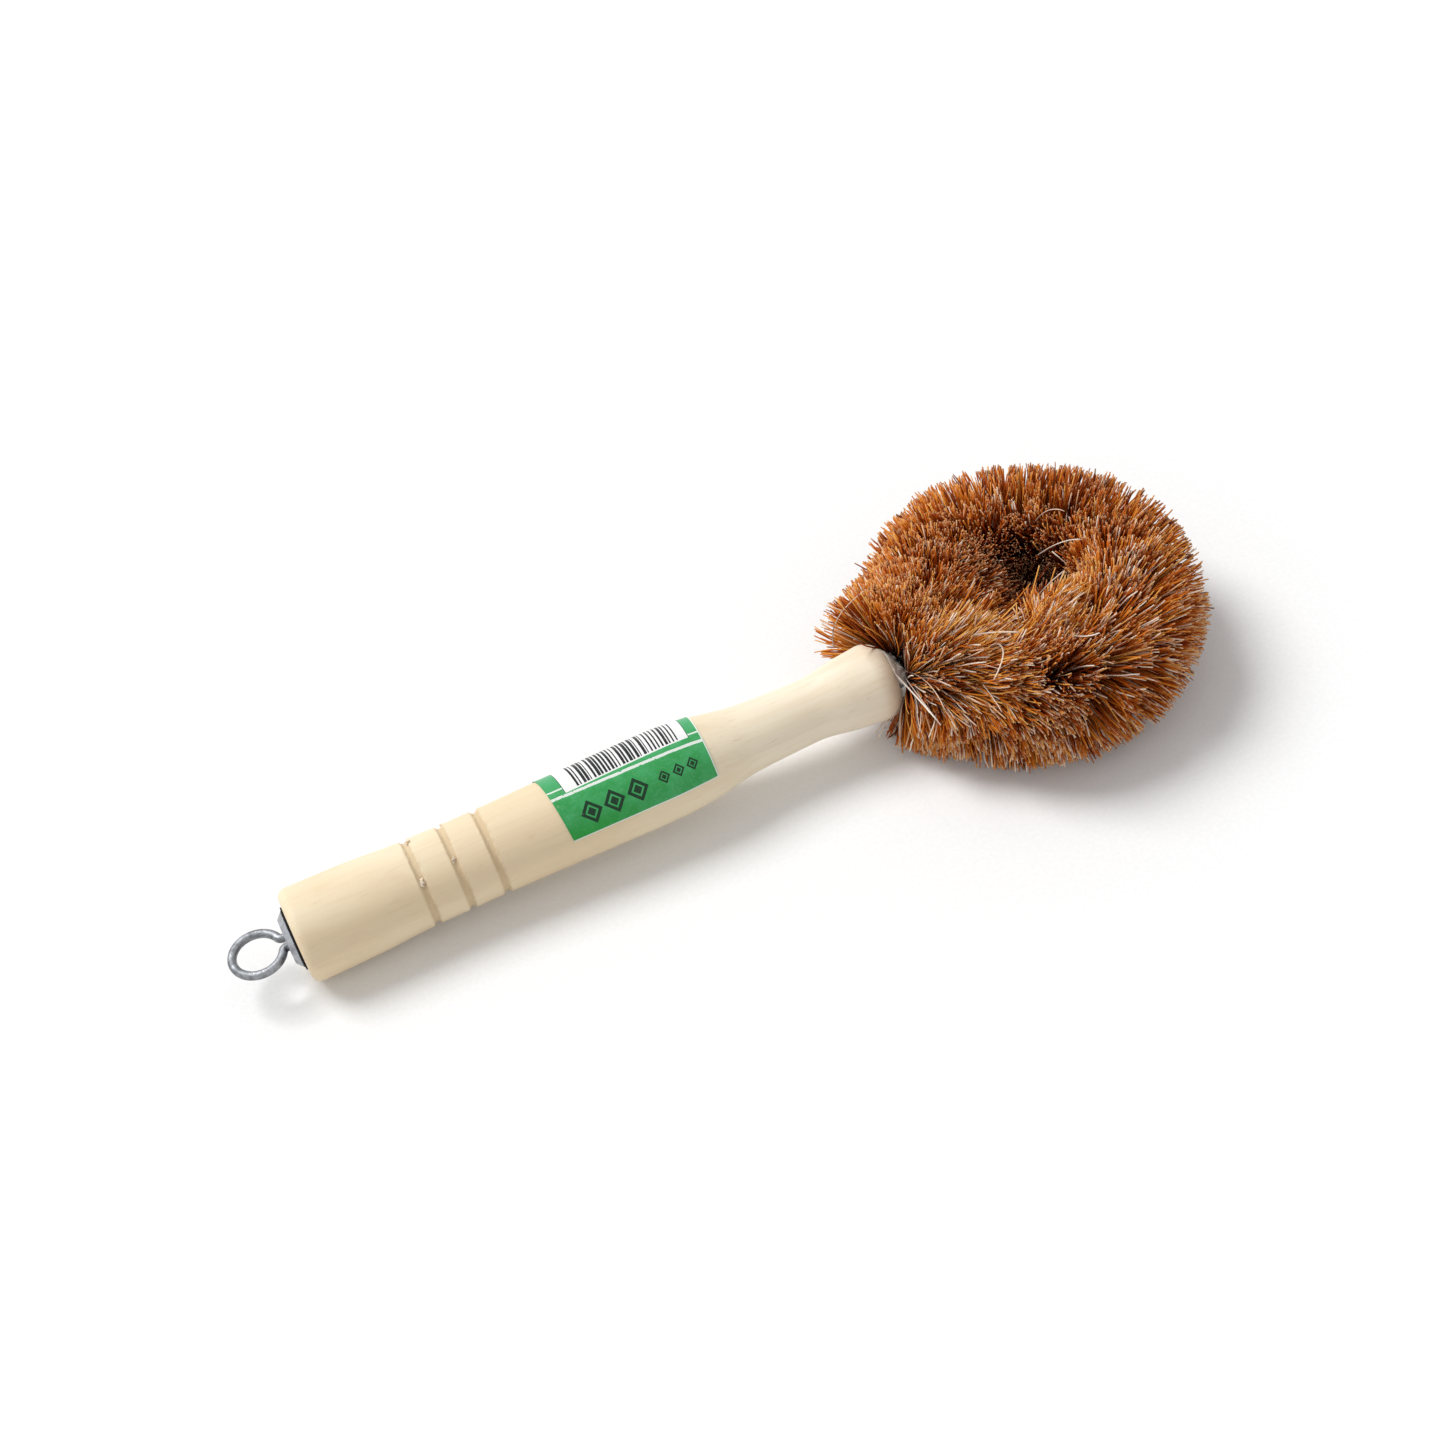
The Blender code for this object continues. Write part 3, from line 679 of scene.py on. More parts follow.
# Single fibres that stand clear of the pile: root, bend and end in millimetres, and the tone.
stray_fibres = (
    (157.5, 10.8, 6.9, 160.6, 12.5, 14.4, 169.7, 12.6, 19.9, 0.93),
    (167.6, -2.7, 4.2, 167.3, -17.8, 10.0, 167.9, -32.0, 12.6, 0.99),
    (169.7, -6.3, 3.4, 168.3, -21.6, 9.8, 168.2, -33.0, 11.8, 0.97),
    (170.4, -4.9, 4.4, 171.9, -17.2, 10.5, 170.7, -30.7, 14.0, 0.90),
    (206.7, -11.2, 17.0, 211.1, -11.2, 20.0, 215.7, -10.3, 21.0, 0.98),
    (214.2, 2.9, 16.0, 219.6, 0.0, 20.0, 224.4, -2.4, 20.6, 0.96),
    (207.3, -27.7, 17.6, 209.9, -32.3, 19.6, 213.4, -34.0, 20.4, 0.97),
    (182.6, -28.4, 14.0, 182.3, -34.6, 15.5, 182.0, -40.7, 16.0, 0.92),
    (186.7, -15.4, 18.0, 190.7, -20.0, 21.0, 196.4, -22.9, 20.4, 0.94),
    (190.4, -22.1, 19.0, 189.7, -27.1, 19.8, 184.7, -31.3, 17.4, 0.92),
    (218.9, 14.1, 16.0, 222.2, 11.7, 20.6, 225.5, 8.7, 21.0, 0.91),
    (242.5, -16.9, -1.0, 246.8, -19.3, -2.4, 251.0, -21.8, -3.2, 0.10),
)

wound_start = handle_length + neck_clearance - ring.start
wound_length = ring.length - 2 * wound_start
swept_length = ring.neck + (square_angle - ring.open_angle) * ring.radius - wound_start
ring_middle = np.array([ring.centre, 0, 0])


def unit(vectors):
    return vectors / np.linalg.norm(vectors, axis=-1, keepdims=True)


def rising(values, rise):
    """0 up to the start of the rise, 1 from its end, and an even slope between."""
    start, run = rise
    return np.clip((values - start) / run, 0, 1)


def bell(distances, width):
    return np.exp(-((distances / width) ** 2))


def near_to(points, middle, radius):
    """1 at a spot and less the further a point is from it."""
    return bell(np.linalg.norm(points - np.array(middle), axis=1), radius)


def facing(away, way):
    return np.clip(away @ np.array(way), 0, 1)


def fibre_lie(share, turn):
    """Where a fibre leaves the wire, which way it stands and how far it reaches.

    share runs along the wound wire and turn goes round it: 0 faces away from the hole in the head,
    a quarter turn is straight up.
    """
    point, along = ring.at(wound_start + share * wound_length)
    away = sideways(along)
    cosine, sine = np.cos(turn), np.sin(turn)
    far = share < 0.5
    side = np.where(far, 1.0, -1.0)
    run = np.minimum(share, 1 - share) * wound_length
    opened = np.minimum(1, run / swept_length)

    def at_neck(far_value, near_values):
        return np.where(far, far_value, np.interp(run, near_places, near_values))

    swept = at_neck(far_swept_angle, near_swept_angles)
    raised = np.where(far, rising(sine, far_square_rise), rising(sine, near_square_rise))
    lean = swept + np.maximum(opened, raised) * (square_angle - swept)
    forward = forward_angle + opened * (square_angle - forward_angle)
    outer = np.stack([-np.cos(lean), side * np.sin(lean), 0 * lean], -1)
    inner = np.stack([np.cos(forward), -side * np.sin(forward), 0 * lean], -1)
    full = (opened == 1)[:, None]
    outer, inner = np.where(full, away, outer), np.where(full, -away, inner)
    level, rise = cosine[:, None], sine[:, None]
    direction = np.where(level > 0, outer, inner) * np.abs(level) + rise * np.array([0, 0, 1])
    near_onward = np.interp(run, near_lean_places, near_leans)
    onward = np.where(far, np.interp(run, far_lean_places, far_leans), near_onward)
    onward = onward * (1 - outer_lean_loss * np.clip(cosine, 0, 1))
    onward = onward * (lower_lean + (1 - lower_lean) * rising(sine, upper_rise))
    direction = direction + along * (side * onward)[:, None]

    rim = rim_reach + rim_ahead * away[:, 0] + far_bulge * facing(away, far_bulge_way) ** 2
    neck = at_neck(far_neck_reach, near_neck_reaches)
    outward = neck + opened * (rim - neck)
    inward = ring_radius - hole_radius - hole_ahead * away[:, 0] + hole_aside * away[:, 1]
    inward = inward + lip * facing(away, lip_in_way) ** lip_power
    inward = inward - lip * facing(away, lip_out_way) ** lip_power
    upright = np.where(sine > 0, neck_height, at_neck(far_neck_depth, near_neck_depths))
    upright = upright + opened * (pile_height - upright)
    reach = (np.abs(cosine) / np.where(cosine > 0, outward, inward)) ** trim_power
    reach = (reach + (np.abs(sine) / upright) ** trim_power) ** (-1 / trim_power)
    reach = reach * np.minimum(np.sqrt(1 + onward * onward), leaning_reach)
    return point, unit(direction), reach


def fibre_tufts(chance):
    """The tufts: their share, turn, lean, tone, sag and length, in locks that keep together."""
    lock = np.arange(lock_count)
    lock_share = (lock + chance.random(lock_count)) / lock_count
    lock_turn = lock * lock_step + chance.normal(0, lock_turn_stray, lock_count)
    lock_lean = chance.normal(0, lock_lean_stray, (lock_count, 3))
    mouth = chance.random(2 * mouth_locks) * mouth_run / wound_length
    mouth[mouth_locks:] = 1 - mouth[mouth_locks:]
    lock_share = np.concatenate([lock_share, mouth])
    mouth_turn = chance.uniform(*mouth_turns, 2 * mouth_locks)
    low = mouth_locks - mouth_locks // 2
    mouth_turn[-low:] = chance.uniform(*low_mouth_turns, low)
    lock_turn = np.concatenate([lock_turn, mouth_turn])
    mouth_lean = chance.normal(0, mouth_lean_stray, (2 * mouth_locks, 3))
    ahead = np.abs(mouth_lean[:, 0]) - mouth_forward
    mouth_lean[:, 0] = np.where(np.sin(mouth_turn) > 0, ahead, 0)
    lock_lean = np.concatenate([lock_lean, mouth_lean])
    lock_tone = chance.normal(0, lock_tone_stray, len(lock_share))

    own = np.repeat(np.arange(len(lock_share)), lock_tufts)
    count = len(own)
    share = lock_share[own] + chance.normal(0, 1, count) * (lock_reach / wound_length)
    turn = lock_turn[own] + chance.normal(0, tuft_turn_stray, count)
    strand_turn = math.tau * share * wound_length / head_pitch
    turn = turn - strand_pull * np.sin(2 * (turn - strand_turn))
    lean = lock_lean[own] + chance.normal(0, tuft_lean_stray, (count, 3))
    tone = lock_tone[own] + chance.normal(0, tuft_tone_stray, count)
    sag = chance.normal(0, sag_stray, (count, 3))
    longer = chance.normal(0, length_stray, len(lock_share))[own]
    return share, turn, lean, tone, sag, longer + chance.normal(0, length_stray, count)


def parted(tip):
    """Moves the tips out of the whorl and away from the seams."""
    off = tip - np.array(parting)
    far = np.linalg.norm(off, axis=1, keepdims=True)
    tip = tip + off / far * parting_push * (1 - rising(far, (0, parting_radius)))
    for seam in np.radians(seam_turns):
        outward = np.array([math.cos(seam), math.sin(seam), 0])
        across = np.array([-math.sin(seam), math.cos(seam), 0])
        off = (tip - ring_middle) @ across
        beyond = (tip - ring_middle) @ outward > ring_radius
        push = np.sign(off) * seam_push * bell(off, seam_width) * beyond
        tip = tip + across * push[:, None]
    return tip


def fibre_tones(chance, tone, turn, tip):
    """The tone of each fibre by where its tip is, with some pale and some dark ones anywhere."""
    cosine, sine = np.cos(turn), np.sin(turn)
    tone = middle_tone + tone + tone_stray * chance.normal(0, 1, len(tip)) + turn_tone * cosine
    from_middle = tip - ring_middle
    near_side = rising(-from_middle[:, 1], near_rise)
    # Painted light: tips high on the near crest are made lighter, as the top of the pile catches
    # the light.
    crest_light = bell(np.linalg.norm(from_middle[:, :2], axis=1) - crest_at, crest_width)
    crest_light = crest_light * rising(tip[:, 2], crest_rise) * rising(-from_middle[:, 1], crest_near_rise)
    tone = tone + far_tone * (1 - near_side) + crest_light_tone * crest_light
    # Painted shade: fibres facing into the hole, most of all near its deep far side, are made much
    # darker.
    hole_shade = hole_shade_share + (1 - hole_shade_share) * near_to(tip, hole_shade_middle, hole_shade_radius)
    hole_shade = hole_shade * np.clip(-cosine, 0, 1) ** hole_shade_power * np.clip(1 - sine, 0, 1)
    tone = tone + hole_shade_tone * hole_shade + front_tone * rising(tip[:, 0], front_rise)
    # Pale fibres are partly real and partly painted highlights, more of them on the near side.
    dark, pale = dark_share, pale_highlight_share + near_pale_highlight_share * near_side
    for middle, radius, *steps in patches:
        patch = near_to(tip, middle, radius)
        tone, pale, dark = (value + step * patch for value, step in zip((tone, pale, dark), steps))
    dark = chance.random(len(tip)) < dark
    pale = chance.random(len(tip)) < pale
    pale_tones = pale_tone + pale_stray * chance.random(len(tip))
    plain = np.where(pale, pale_tones, np.minimum(tone, top_tone))
    return np.clip(np.where(dark, tone - dark_step, plain), 0.03, 0.99)


def clear_of_dome(line):
    """True for fibres that neither stand in the bulb nor end over the open side of its dome."""
    on_wood = (line[..., 0] < bulb_at) & (np.hypot(line[..., 1], line[..., 2]) < bulb_radius)
    x, y, z = line[:, -1].T
    over_dome = (x < handle_length - 0.002) & (0.73 * z - 0.67 * y > 0.85 * np.hypot(y, z))
    return ~(on_wood.any(axis=1) | over_dome)


def fibre_lines():
    """The share, line and tone of every fibre: most gather in tufts, and some go their own way."""
    chance = np.random.default_rng(11)
    tuft_share, tuft_turn, tuft_lean, tuft_tone, tuft_sag, tuft_long = fibre_tufts(chance)
    of = np.repeat(np.arange(len(tuft_share)), tuft_fibres)
    count = len(of)
    wild = chance.random(count) < wild_share

    def stray(amounts):
        return np.where(wild, amounts[1], amounts[0])

    off = chance.normal(0, 1, count) * stray(reach_strays) * tuft_reach
    share = tuft_share[of] + off / wound_length
    turn = tuft_turn[of] + chance.normal(0, 1, count) * stray(turn_strays)
    keep = (share > end_margin) & (share < 1 - end_margin)
    of, wild, share, turn = of[keep], wild[keep], share[keep], turn[keep]
    count = len(of)
    point, direction, reach = fibre_lie(share, turn)
    tuft_share = np.clip(tuft_share, end_margin, 1 - end_margin)
    middle, middle_direction, middle_reach = fibre_lie(tuft_share, tuft_turn)
    gathered = middle + unit(middle_direction + tuft_lean) * middle_reach[:, None]

    lean = tuft_lean[of] + chance.normal(0, 1, (count, 3)) * stray(lean_strays)[:, None]
    long = reach * (1 + tuft_long[of] - length_loss * chance.random(count) ** 2)
    long *= np.where(chance.random(count) < stub_share, stub_length, 1)
    tip = point + unit(direction + lean) * long[:, None]
    pull = np.where(wild, 0, least_pull + more_pull * chance.random(count))[:, None]
    tip = parted(tip + (gathered[of] - tip) * pull)
    kept_length = np.maximum(np.linalg.norm(tip - point, axis=1), long * least_length)
    tip = point + unit(tip - point) * kept_length[:, None]

    root = point + unit(tip - point) * root_radius
    t = np.linspace(0, 1, fibre_segments + 1)
    line = root[:, None] + (tip - root)[:, None] * t[None, :, None]
    sag = (tuft_sag[of] + chance.normal(0, sag_stray, (count, 3))) * long[:, None]
    line = line + sag[:, None] * (4 * t * (1 - t))[None, :, None]
    line[:, 1:] += chance.normal(0, crinkle, (count, fibre_segments, 3))
    tone = fibre_tones(chance, tuft_tone[of], turn, tip)
    free = clear_of_dome(line)
    return share[free], line[free], tone[free]


def mapped_mesh(name, verts, faces, places):
    """A smooth mesh, and its map with a place for each corner of each face."""
    mesh = bpy.data.meshes.new(name)
    mesh.from_pydata(verts, [], faces)
    places = np.ravel(places).astype(np.float32)
    mesh.uv_layers.new(name="OFBake").uv.foreach_set("vector", places)
    mesh.shade_smooth()
    return mesh


def clear_of_wood(line):
    """Moves the points of fibres that would stand in the handle's bulb out to its surface."""
    x, around = line[..., 0], np.hypot(line[..., 1], line[..., 2])
    end = np.clip((x - bulb_at) / (dome_length + wood_clearance), 0, 1)
    wood = (bulb_radius + wood_clearance) * np.sqrt(1 - end * end)
    push = np.where(around < wood, wood / np.maximum(around, 0.0001), 1)
    line[..., 1] *= push
    line[..., 2] *= push


def strand_mesh(name, line, tone):
    """One mesh of closed three-sided strands along lines of points.

    The map that its faces carry holds a strand's tone across and the way along it upwards.
    """
    chance = np.random.default_rng(len(line))
    count, rows = line.shape[:2]
    clear_of_wood(line)
    table = -brush.translation.z / brush[2][2] - brush[2][0] / brush[2][2] * line[..., 0]
    line[..., 2] = np.maximum(line[..., 2], table + table_clearance + fibre_radius)
    along = unit(np.gradient(line, axis=1))
    upright = np.abs(along[..., 2:]) > 0.9
    across = unit(np.cross(along, np.where(upright, np.array([1.0, 0, 0]), np.array([0, 0, 1.0]))))
    above = np.cross(along, across)
    t = np.linspace(0, 1, rows)
    thick = fibre_radius * chance.uniform(*fibre_thickness, count)[:, None, None]
    thick = thick * (1 - fibre_taper * t)[None, :, None]
    first = chance.uniform(0, math.tau, count)[:, None, None]
    turns = [first + math.tau * k / fibre_sides for k in range(fibre_sides)]
    verts = np.stack([line + (across * np.cos(a) + above * np.sin(a)) * thick for a in turns], 2)
    number = np.arange(count * rows * fibre_sides).reshape(count, rows, fibre_sides)

    def spots(*corners):
        """Places on the map for the corners of one face of each strand: a column and a height."""
        return np.stack([
            np.stack([tone + column * 0.004, height + 0 * tone], -1) for column, height in corners
        ], 1)

    faces, places = [], []
    for j in range(rows - 1):
        low, high = 0.02 + 0.94 * j / (rows - 1), 0.02 + 0.94 * (j + 1) / (rows - 1)
        here, there = number[:, j], number[:, j + 1]
        for k in range(fibre_sides):
            after = (k + 1) % fibre_sides
            left, right = k - 1.5, k - 0.5
            faces.append(np.stack([here[:, k], here[:, after], there[:, after], there[:, k]], -1))
            places.append(spots((left, low), (right, low), (right, high), (left, high)))
    for end, low, high in ((number[:, 0, ::-1], 0.004, 0.016), (number[:, -1], 0.968, 0.992)):
        faces.append(end)
        places.append(spots((-1.5, low), (1.5, low), (0, high)))
    faces = [face for group in faces for face in group.tolist()]
    places = np.concatenate([group.ravel() for group in places])
    return mapped_mesh(name, verts.reshape(-1, 3).tolist(), faces, places)


def fibre_finish():
    """Palm fibre: its tone runs from near black through red-brown and gold to straw."""
    start, fed = new_finish("palm_fibre", IOR=1.45, Specular_IOR_Level=0.08)
    place = start.mapped()
    tone, along = place.axis("X"), place.axis("Y")
    root_colour = (0.070, 0.008, 0.002)
    stops = (
        (0.0, root_colour),
        (0.22, (0.28, 0.045, 0.006)),
        (0.45, (0.59, 0.130, 0.010)),
        (0.66, (0.80, 0.29, 0.035)),
        (0.80, (0.88, 0.45, 0.11)),
        (0.88, (0.90, 0.62, 0.44)),
        (1.0, (1.0, 0.92, 0.82)),
    )
    hue = start.node("ValToRGB", {"stops": stops}, {"Fac": tone})
    # Towards the root each fibre goes dark: partly its own darker base, partly painted shade among
    # the dense fibres; pale fibres darken half as much.
    clear_of_dark_root_and_shade = 1 - (1 - along.ramp(0.10, 0.75)) * (1 - 0.5 * tone.ramp(0.82, 0.90))
    colour = clear_of_dark_root_and_shade.mix(root_colour, hue).under((along.ramp(0.91, 0.985), 0.5, (0.90, 0.62, 0.34)))
    return fed(Base_Color=colour, Roughness=0.58 - 0.14 * tone)


fibre = fibre_finish()
fibre_share, all_lines, fibre_tone = fibre_lines()
for number in range(slice_count):
    own = (fibre_share * slice_count).astype(int) == number
    name = f"palm_fibre_{number + 1:02d}"
    mesh = strand_mesh(name, all_lines[own], fibre_tone[own])
    new_piece(name, mesh, fibre, [f"bristles_{number + 1:02d}"])

strays = np.array(stray_fibres)
root, bend, end = (strays[:, None, first:first + 3] / 1000 for first in (0, 3, 6))
t = np.linspace(0, 1, stray_points)[None, :, None]
stray_lines = root * (1 - t) * (1 - 2 * t) + bend * 4 * t * (1 - t) + end * t * (2 * t - 1)
stray_mesh = strand_mesh("stray_fibres", stray_lines, strays[:, 9])
new_piece("stray_fibres", stray_mesh, fibre)


# Glue
# Set glue that was poured into the mouth of the socket round both ends of the wire. It stands up
# round the wires as a low, cloudy, lumpy mound and has crept out thinly over the end of the dome.

glue_rounds, glue_sides = 30, 84
glue_spread, glue_bulge, glue_mound, mound_reach = 0.0074, 0.0004, 0.0009, 0.0030
glue_rag, rag_scale, glue_rim_drop = 0.20, 1.7, 0.00006
glue_lumps = ((0.9, 700), (0.5, 1800))


def glue_mesh():
    """A skin over the dome, thick in the middle and thin at its ragged edge, closed underneath."""
    bm = bmesh.new()
    rounds = []
    for i in range(1, glue_rounds + 1):
        line = []
        for j in range(glue_sides):
            turn = math.tau * j / glue_sides
            ragged = noise.noise(Vector((math.cos(turn), math.sin(turn), 3.0)) * rag_scale)
            spread = min(glue_spread * (1 + glue_rag * ragged), bulb_radius * 0.97)
            radius = spread * i / glue_rounds
            dome = math.acos(min(radius / bulb_radius, 1))
            spot = Vector((0, radius * math.cos(turn), radius * math.sin(turn)))
            edge = 1 - (i / glue_rounds) ** 5
            lump = 1 + sum(size * noise.noise(spot * scale) for size, scale in glue_lumps)
            by_wire = min((spot - Vector((0, leg, 0))).length for leg in (leg_offset, -leg_offset))
            mound = glue_mound * max(0, 1 - max(0, by_wire - pair_radius) / mound_reach) ** 1.5
            spot.x = bulb_at + dome_length * math.sin(dome) + (glue_bulge * edge + mound) * lump
            if i == glue_rounds:
                spot.x -= glue_rim_drop
            line.append(bm.verts.new(spot))
        rounds.append(line)
    under = bm.verts.new((bulb_at, 0, 0))
    top = bm.verts.new((handle_length + glue_bulge + glue_mound * 0.6, 0, 0))
    for near, far in zip(rounds, rounds[1:]):
        bridge(bm, near, far)
    for j in range(glue_sides):
        bm.faces.new((rounds[0][j - 1], rounds[0][j], top))
        bm.faces.new((rounds[-1][j - 1], rounds[-1][j], under))
    bmesh.ops.recalc_face_normals(bm, faces=bm.faces)
    return smooth_mesh("glue_skin", bm)


def glue_finish():
    """Set glue: cloudy grey-white with amber dust in it, glossy where it is thick."""
    start, fed = new_finish("cloudy_glue", IOR=1.48, Coat_Roughness=0.12)
    cloud = start.grain(480, 4)
    dust = start.grain(3200, 2).ramp(0.64, 0.72)
    colour = cloud.ramp(0.35, 0.62).mix((0.97, 0.95, 0.90), (0.88, 0.84, 0.75))
    return fed(
        Base_Color=colour.under((dust, 0.4, (0.48, 0.33, 0.17))), Normal=cloud.bump(0.00015),
        Roughness=0.22 + 0.35 * cloud, Coat_Weight=0.3 + 0.5 * cloud,
    )


new_piece("glue_skin", glue_mesh(), glue_finish(), ["glue_plug"])


# Label
# A glossy printed film wrapped over the top of the grip from one edge on the near side, a little
# askew. It is plain green with a white panel of bars that say nothing, thin white rules, and a row
# of lozenges for ornament.

label_start, label_length, label_width = 0.0739, 0.0406, 0.0300
label_skew, label_flare, label_edge = 0.0018, 0.0030, math.radians(74)
label_gap, label_thickness, label_curl, label_wave = 0.00006, 0.00011, 0.00010, 0.00005
label_columns, label_rows = 64, 64
curl_start, print_share = 0.93, 0.94

# What is printed, in shares of the film's length and of its width round the grip.
panel_start, panel_end, panel_low, panel_high, panel_tilt = 0.105, 0.925, 0.427, 0.865, 0.027
bars_start, bars_end, bars_high, bars_gap, panel_line = 0.188, 0.872, 0.862, 0.014, 0.004
bar_count, thin_bar, wider_bar = 42, 0.27, 0.58
lozenge_spots = (
    (0.185, 1.0), (0.340, 1.0), (0.500, 1.0), (0.680, 0.56), (0.780, 0.56), (0.875, 0.56),
)
lozenge_length, lozenge_width, lozenge_low, lozenge_tilt = 0.072, 0.110, 0.178, 0.045


def label_spot(along, around, lift):
    """A point of the wrapped film, for shares along the handle and around it."""
    place = label_start + along * label_length - around * label_skew
    place += (along - 0.5) * around * label_flare
    edge = max(abs(along - 0.5), abs(around - 0.5)) * 2
    radius = grip_radius(place) + label_gap + lift
    radius += label_curl * max(0, edge - curl_start) / (1 - curl_start)
    radius += label_wave * noise.noise(Vector((along * 5, around * 4, 2.0)))
    turn = label_edge - around * label_width / swell_radius
    return Vector((place, -radius * math.sin(turn), radius * math.cos(turn)))


def label_mesh():
    """Both faces of the film and its edge; the printed face fills most of the map."""
    verts, faces, places = [], [], []
    for lift in (label_thickness, 0):
        for i in range(label_columns + 1):
            for j in range(label_rows + 1):
                verts.append(label_spot(i / label_columns, j / label_rows, lift))
    step = label_rows + 1
    layer = (label_columns + 1) * step
    for i in range(label_columns):
        for j in range(label_rows):
            corners = ((i, j), (i + 1, j), (i + 1, j + 1), (i, j + 1))
            faces.append([column * step + row for column, row in corners])
            faces.append([layer + column * step + row for column, row in reversed(corners)])
            for column, row in corners:
                places.append((column / label_columns, print_share * row / label_rows))
            for column, row in reversed(corners):
                height = print_share + 0.01 + 0.02 * row / label_rows
                places.append((column / label_columns, height))
    rim = [(i, 0) for i in range(label_columns)] + [(label_columns, j) for j in range(label_rows)]
    rim += [(label_columns - i, label_rows) for i in range(label_columns)]
    rim += [(0, label_rows - j) for j in range(label_rows)]
    for number, (here, there) in enumerate(zip(rim, rim[1:] + rim[:1])):
        near, far = here[0] * step + here[1], there[0] * step + there[1]
        faces.append([far, near, layer + near, layer + far])
        left, right = number / len(rim), (number + 1) / len(rim)
        places += [(right, 0.975), (left, 0.975), (left, 0.995), (right, 0.995)]
    mesh = mapped_mesh("printed_label", verts, faces, places)
    mesh.set_sharp_from_angle(angle=math.radians(50))
    return mesh


def label_finish():
    """The print: green ground, white panel and rules, black bars and lozenges, under a gloss."""
    start, fed = new_finish(
        "printed_film", Specular_IOR_Level=0.15, Coat_Roughness=0.16, Coat_Weight=0.05
    )
    place = start.mapped()
    along, upward = place.axis("X"), place.axis("Y")
    around = upward / print_share
    printed = 1 - (upward > print_share)

    def within(value, low, high):
        return (value > low) * (value < high)

    cloudy = start.grain(260, 4)
    mottled = start.grain(1400, 4)
    near_start = (1 - around.ramp(0.02, 0.22)) * (1 - along.ramp(0.1, 0.7))
    ground = cloudy.ramp(0.35, 0.65).mix((0.040, 0.340, 0.085), (0.060, 0.400, 0.130)).under(
        (mottled.ramp(0.45, 0.70), 0.5, (0.11, 0.42, 0.18)),
        (around.ramp(0.30, 0.75), 0.7, (0.085, 0.410, 0.190)),
        (near_start, 0.7, (0.016, 0.330, 0.030)),
    )
    pale, white, black = (0.80, 0.86, 0.80), (0.90, 0.90, 0.89), (0.014, 0.016, 0.018)
    rule = abs(around + 0.034 * along + 0.016 * (cloudy - 0.5) - 0.412)
    low_edge = panel_low + panel_tilt * along
    panel = (around > low_edge) * (around < panel_high)
    cell = (along - bars_start) * bar_count
    number = cell.math("FLOOR", cell)
    chosen = start.node("TexWhiteNoise", {"noise_dimensions": "1D"}, {"W": number})
    bars = (cell - number < thin_bar + wider_bar * chosen) * within(along, bars_start, bars_end)
    lozenges = 0
    for middle, size in lozenge_spots:
        off = abs(along - middle) / (lozenge_length * size)
        off = off + abs(around - (lozenge_low + lozenge_tilt * middle)) / (lozenge_width * size)
        lozenges = lozenges + (off < 1) - within(off, 0.42, 0.62)
    outline = within(along, panel_start - panel_line, panel_end + panel_line) * panel
    colour = ground
    for ink, mask in (
        (pale, (rule < 0.014) * (mottled + rule * 10 < 0.72)),
        (pale, abs(around + 0.015 * along - 0.492) < 0.008),
        (pale, (around < 0.009) + (along > 0.993)),
        ((0.03, 0.09, 0.05), outline),
        (white, within(along, panel_start, panel_end) * panel),
        (black, bars * (around > low_edge + bars_gap) * (around < bars_high)),
        ((0.012, 0.045, 0.020), lozenges),
    ):
        colour = (mask * printed).mix(colour, ink)
    scuffs = start.grain(1800, 4, (1, 0.5, 0.5)).ramp(0.66, 0.78)
    colour = colour.under((scuffs, 0.25, (0.75, 0.80, 0.75)))
    return fed(Base_Color=colour, Roughness=0.24 + 0.20 * cloudy, Normal=cloudy.bump(0.00006))


new_piece("printed_label", label_mesh(), label_finish(), ["label"])


# Studio
# A plain white table under soft daylight from above and behind, and the camera of the photograph:
# a long lens, looking down from the near side with the handle rising to the right.

camera_azimuth, camera_elevation = math.radians(-11.6632), math.radians(47)
camera_roll, camera_distance, camera_lens = math.radians(15.2178), 0.8038, 77.066
camera_aim = (0.1228, 0.0096, 0)
table_half, table_drop, table_glow = 3.0, 0.00005, 0.05
daylight = 0.50
window_energy, window_angle, window_way = 2.30, math.radians(32), (-0.42, 0.50, 0.95)


def rays_seen(start, kinds):
    """A Light Path node's answers for kinds of ray, added up."""
    return sum(start.node("LightPath", {}, {}, f"Is {kind} Ray") for kind in kinds)


def table_mesh():
    bm = bmesh.new()
    bmesh.ops.create_grid(bm, x_segments=1, y_segments=1, size=table_half)
    return smooth_mesh("table_top", bm)


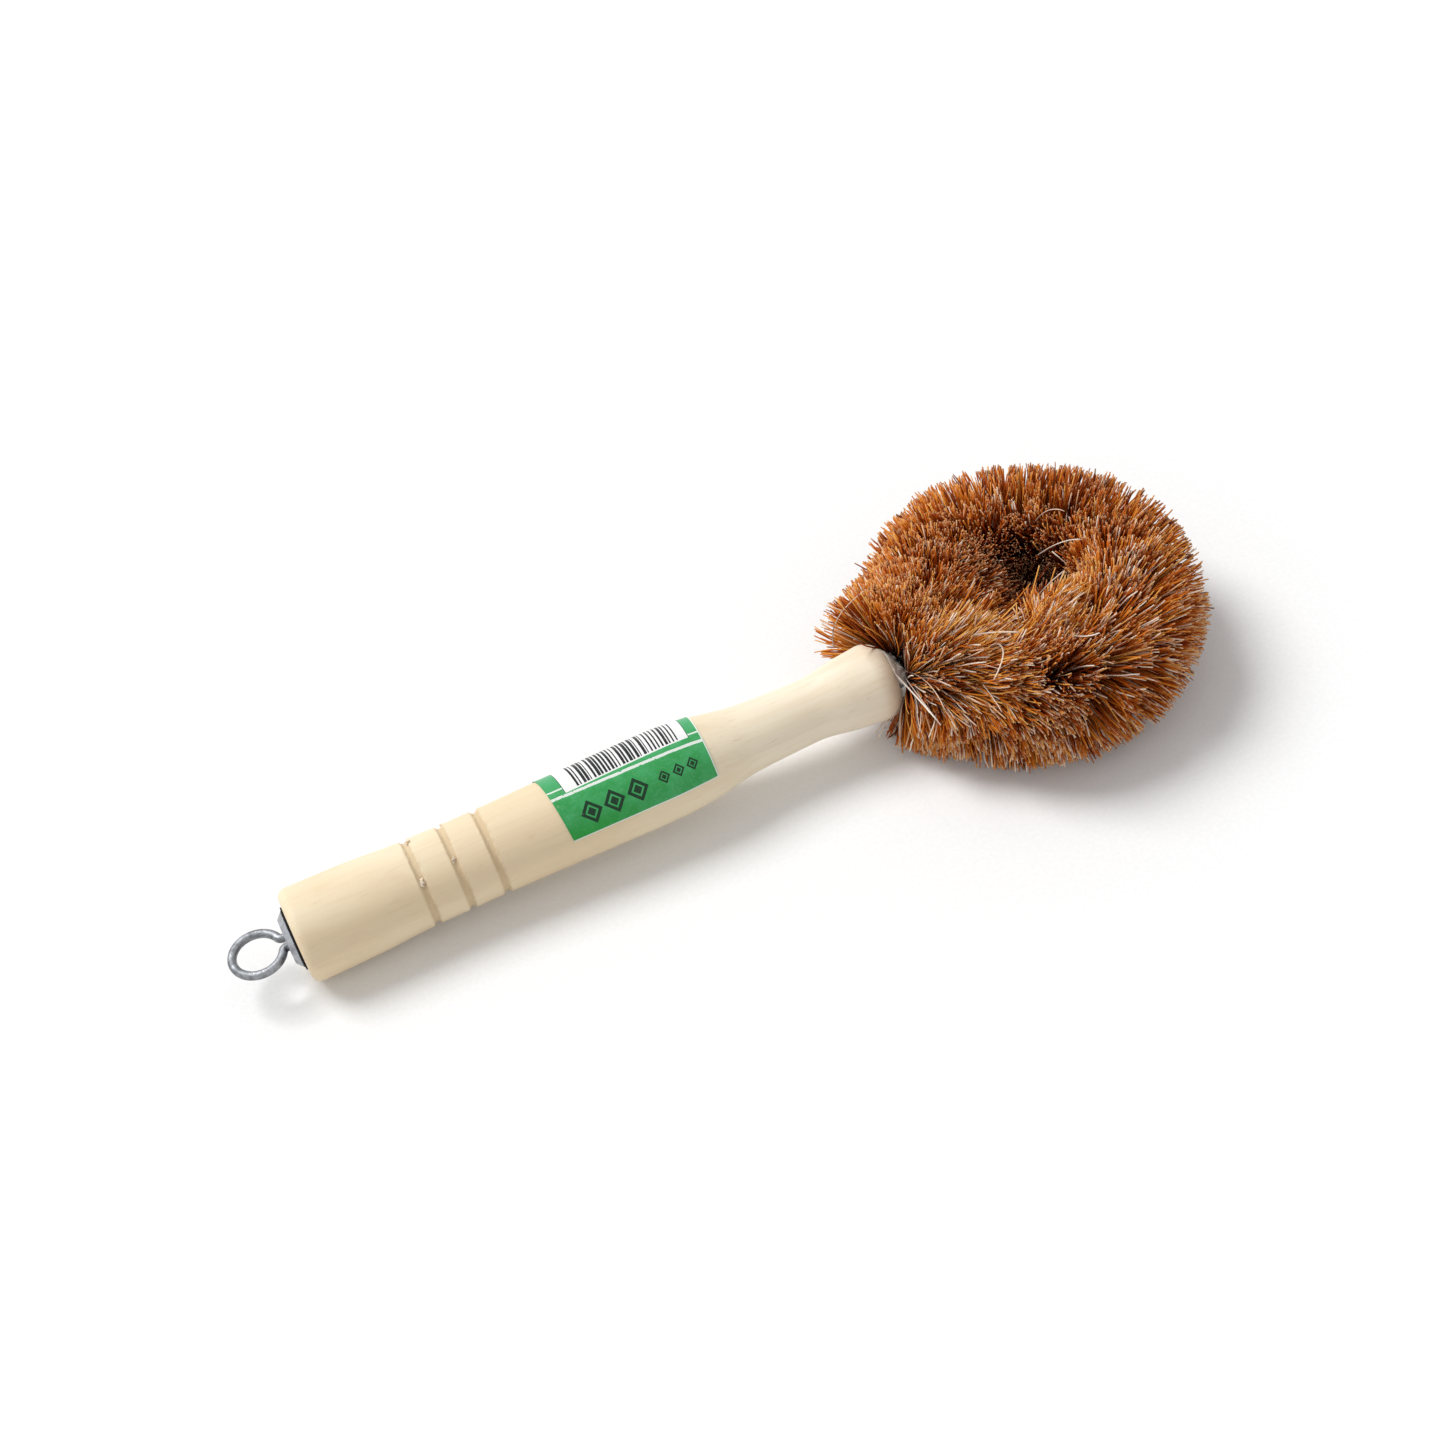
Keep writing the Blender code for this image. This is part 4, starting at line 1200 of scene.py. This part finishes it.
def table_finish():
    """White paper: it takes the shadow, and glows just enough to read as plain white."""
    start, fed = new_finish("white_paper", Roughness=0.9)
    nodes = start.tree.nodes
    strength = rays_seen(start, ("Camera", "Glossy")) * table_glow
    glow = start.node("Emission", {}, {"Color": (1, 1, 1, 1), "Strength": strength})
    shader = Socket(start.tree, nodes["Principled BSDF"].outputs[0])
    both = start.node("AddShader", {}, {0: shader, 1: glow})
    start.tree.links.new(both.output, nodes["Material Output"].inputs["Surface"])
    tooth = start.grain(900, 3).ramp(0.3, 0.7)
    return fed(Base_Color=tooth.mix((0.86, 0.86, 0.86), (0.89, 0.89, 0.89)))


table = new_object("table_top", table_mesh())
table.data.materials.append(table_finish())
table.location.z = -table_drop
table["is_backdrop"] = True

world = bpy.data.worlds.new("soft_daylight")
world.use_nodes = True
bpy.context.scene.world = world
seen = rays_seen(Socket(world.node_tree), ("Camera", "Glossy", "Transmission"))
seen = seen.math("MINIMUM", seen, 1)
backdrop = world.node_tree.nodes["Background"].inputs
backdrop["Color"].default_value = (1, 1, 1, 1)
strength = daylight + seen * (1 - daylight)
world.node_tree.links.new(strength.output, backdrop["Strength"])

window = new_object("window", bpy.data.lights.new("window", "SUN"))
window.data.energy = window_energy
window.data.angle = window_angle
window.rotation_euler = Vector(window_way).to_track_quat("Z", "Y").to_euler()

level = Vector((math.cos(camera_azimuth), math.sin(camera_azimuth), 0))
back = Vector((level.y, -level.x, 0)) * math.cos(camera_elevation)
back.z = math.sin(camera_elevation)
above = back.cross(level)
right = level * math.cos(camera_roll) - above * math.sin(camera_roll)
pose = Matrix((right, back.cross(right), back)).transposed().to_4x4()
pose.translation = Vector(camera_aim) + back * camera_distance
camera = new_object("camera", bpy.data.cameras.new("camera"))
camera.data.lens = camera_lens
camera.data.sensor_width = 36
camera.matrix_world = brush @ pose
bpy.context.scene.camera = camera
bpy.context.scene.view_settings.view_transform = "Standard"

scene_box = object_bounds()
boxes = {"cad": cad_box, "scene": scene_box}
{name: [list(corner) for corner in box] for name, box in boxes.items()}
